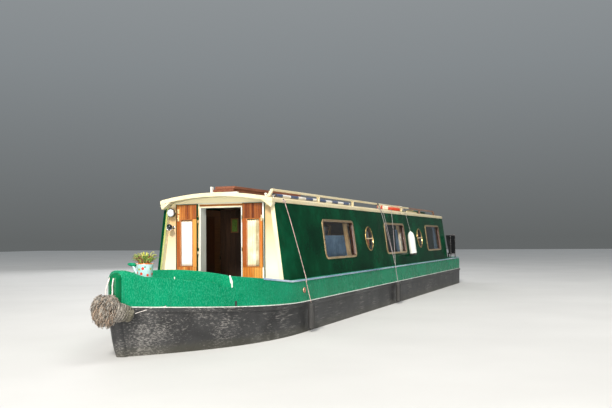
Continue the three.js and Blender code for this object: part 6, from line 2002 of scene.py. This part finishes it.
def rear_door(side, sign):
    """A boarded leaf with a framed pane above, a lower panel of boards, and a handle on the port leaf."""
    body = f"rear_door_{side}"
    face = CABIN_REAR_X - 0.040
    near, far, low = 0.004, 0.312, 1.325
    recast(body, VARNISH, bevel=0.003)
    rows = board_rows(face - 0.0025, face + 0.0005, near + 0.045, far - 0.045, low, 1.745, 4)
    make(body + "_boards", on_side(boxes(rows), sign), VARNISH, "varnished_wood", body=body, bevel=0.001,
         tones=box_tones(4), weld=False)
    beads = [(face - 0.005, face + 0.0005, *bead) for bead in (
        (near + 0.040, near + 0.046, low - 0.008, 1.752), (far - 0.046, far - 0.040, low - 0.008, 1.752),
        (near + 0.046, far - 0.046, low - 0.008, low - 0.002), (near + 0.046, far - 0.046, 1.746, 1.752))]
    make(body + "_beads", on_side(boxes(beads), sign), VARNISH, "varnished_wood", body=body, bevel=0.0015,
         weld=False)
    pane = boxes([(face + 0.014, face + 0.018, near + 0.060, far - 0.060, 1.795, 2.165)])
    make(body + "_glass", on_side(pane, sign), GLASS, "window_glass", body=body)
    if sign > 0:
        spindle = turned([(0.018, 0), (0.018, 0.003), (0.006, 0.005), (0.006, 0.022), (0.011, 0.026),
                          (0.014, 0.034),
                          (0.011, 0.042), (0, 0.045)], (face + 0.0003, near + 0.024, 1.70), (-1, 0, 0), 24)
        make(body + "_knob", spindle, BRASS, "brass", body=body, crease=40)


def stern_details():
    """Mooring dollies turned from bar, and a grab ring and chequered strips on the lid."""
    foot = GUNWALE_Z - 0.0022
    dolly = turned([(0.034, 0.0), (0.034, 0.006), (0.024, 0.014), (0.0205, 0.028), (0.0205, 0.100),
                    (0.0325, 0.106),
                    (0.0335, 0.112), (0.0325, 0.120), (0.024, 0.1245), (0.0, 0.126)], (-6.15, 0.82, foot))
    make_pair("dolly", dolly, BLACK, "black_paint", crease=40)
    pitch, long, short = 0.028, 0.008, 0.0022
    dots = [(x, y) for x in np.arange(-6.47, -5.88, pitch) for y in np.arange(-0.32, 0.321, pitch)]
    between = [(x + pitch / 2, y + pitch / 2) for x, y in dots if y < 0.30 and x < -5.905]
    treads = [(x - half_x, x + half_x, y - half_y, y + half_y, foot, foot + 0.0016)
              for places, half_x, half_y in ((dots, long, short), (between, short, long)) for x,
              y in places]
    make("lid_treads", boxes(treads), HULL_GREEN, "hull_green", body="deck_lid", weld=False)
    ring = round_turn(24)
    pull = np.column_stack([-6.40 + 0.022 * np.cos(ring), 0.022 * np.sin(ring),
                            np.full(24, GUNWALE_Z + 0.003)])
    make("lid_ring", tube(pull, 0.003, 8, closed=True), BRASS, "brass", body="deck_lid")


stern_screens()
tiller()
for side, sign in SIDES.items():
    rear_door(side, sign)
stern_details()


# Camera at the photograph's place, for a frame of 612 by 408

def place_camera():
    """Turns are yaw about Z, then pitch, then roll about the line of sight."""
    spot = Vector((13.272, 4.670, 1.754))
    yaw, pitch, roll = 0.3826, 0.046, -0.0096
    sight = Vector((-math.cos(yaw) * math.cos(pitch), -math.sin(yaw) * math.cos(pitch), math.sin(pitch)))
    level = sight.cross(Vector((0, 0, 1))).normalized()
    above = level.cross(sight)
    right = math.cos(roll) * level + math.sin(roll) * above
    up = -math.sin(roll) * level + math.cos(roll) * above
    data = bpy.data.cameras.new("photo_camera")
    data.lens = 44.12
    data.sensor_width = 36.0
    data.clip_end = 200
    camera = put("photo_camera", data)
    camera.matrix_world = Matrix.Translation(spot) @ Matrix((right, up, -sight)).transposed().to_4x4()
    bpy.context.scene.camera = camera


# Floor at the waterline, soft lights and a pale surround

def studio():
    """A flat floor, a surround whose shade changes with height, and square lights that face the boat."""
    half = 60.0
    floor = bpy.data.meshes.new("studio_floor")
    corners = [(-half, -half), (half, -half), (half, half), (-half, half)]
    floor.from_pydata([(x, y, WATERLINE_Z) for x, y in corners], [], [(0, 1, 2, 3)])
    finish, tree, shader, where = start("Studio floor", (0.62, 0.63, 0.62), 0.65)
    feed(shader, "Base Color", ramp(tree, noise(tree, where, 0.6, 3, 0.5), [(0.3, 0.60), (0.7, 0.65)]))
    floor.materials.append(finish)
    put("studio_floor", floor)
    bpy.context.scene.view_settings.view_transform = "Standard"
    world = bpy.data.worlds.new("studio")
    bpy.context.scene.world = world
    world.use_nodes = True
    tree = world.node_tree
    height = height_of(tree, tree.nodes.new("ShaderNodeTexCoord").outputs["Generated"])
    sky = ramp(tree, height, [(0.0, (0.30, 0.32, 0.32)), (0.22, (0.55, 0.60, 0.63)),
                              (0.6, (0.92, 0.97, 1.0))])
    feed(tree.nodes["Background"], "Color", sky)
    feed(tree.nodes["Background"], "Strength", 0.42)
    for name, spot, aim, size_m, power, spread, colour in (
            ("key", (37, 6.5, 25), (5.9, 0, 1.2), 7.0, 21000, 180, (1.0, 0.95, 0.86)),
            ("front_fill", (17, 5, 2.4), (4.6, 0, 1.6), 5.0, 330, 120, (1.0, 0.97, 0.92)),
            ("top_soft", (1, 4, 14), (0, 0, 1), 8.0, 700, 180, (1.0, 0.98, 0.94)),
            ("side_fill", (2, 16, 6), (0, 0, 1.4), 9.0, 30, 180, (0.9, 0.96, 1.0)),
            ("far_fill", (-12, -12, 9), (-1, 0, 1), 8.0, 600, 180, (1.0, 1.0, 1.0))):
        data = bpy.data.lights.new(name, "AREA")
        data.size = size_m
        data.energy = power
        data.spread = math.radians(spread)
        data.color = colour
        light = put(name, data)
        light.location = spot
        light.rotation_euler = (Vector(aim) - Vector(spot)).to_track_quat("-Z", "Y").to_euler()


place_camera()
studio()
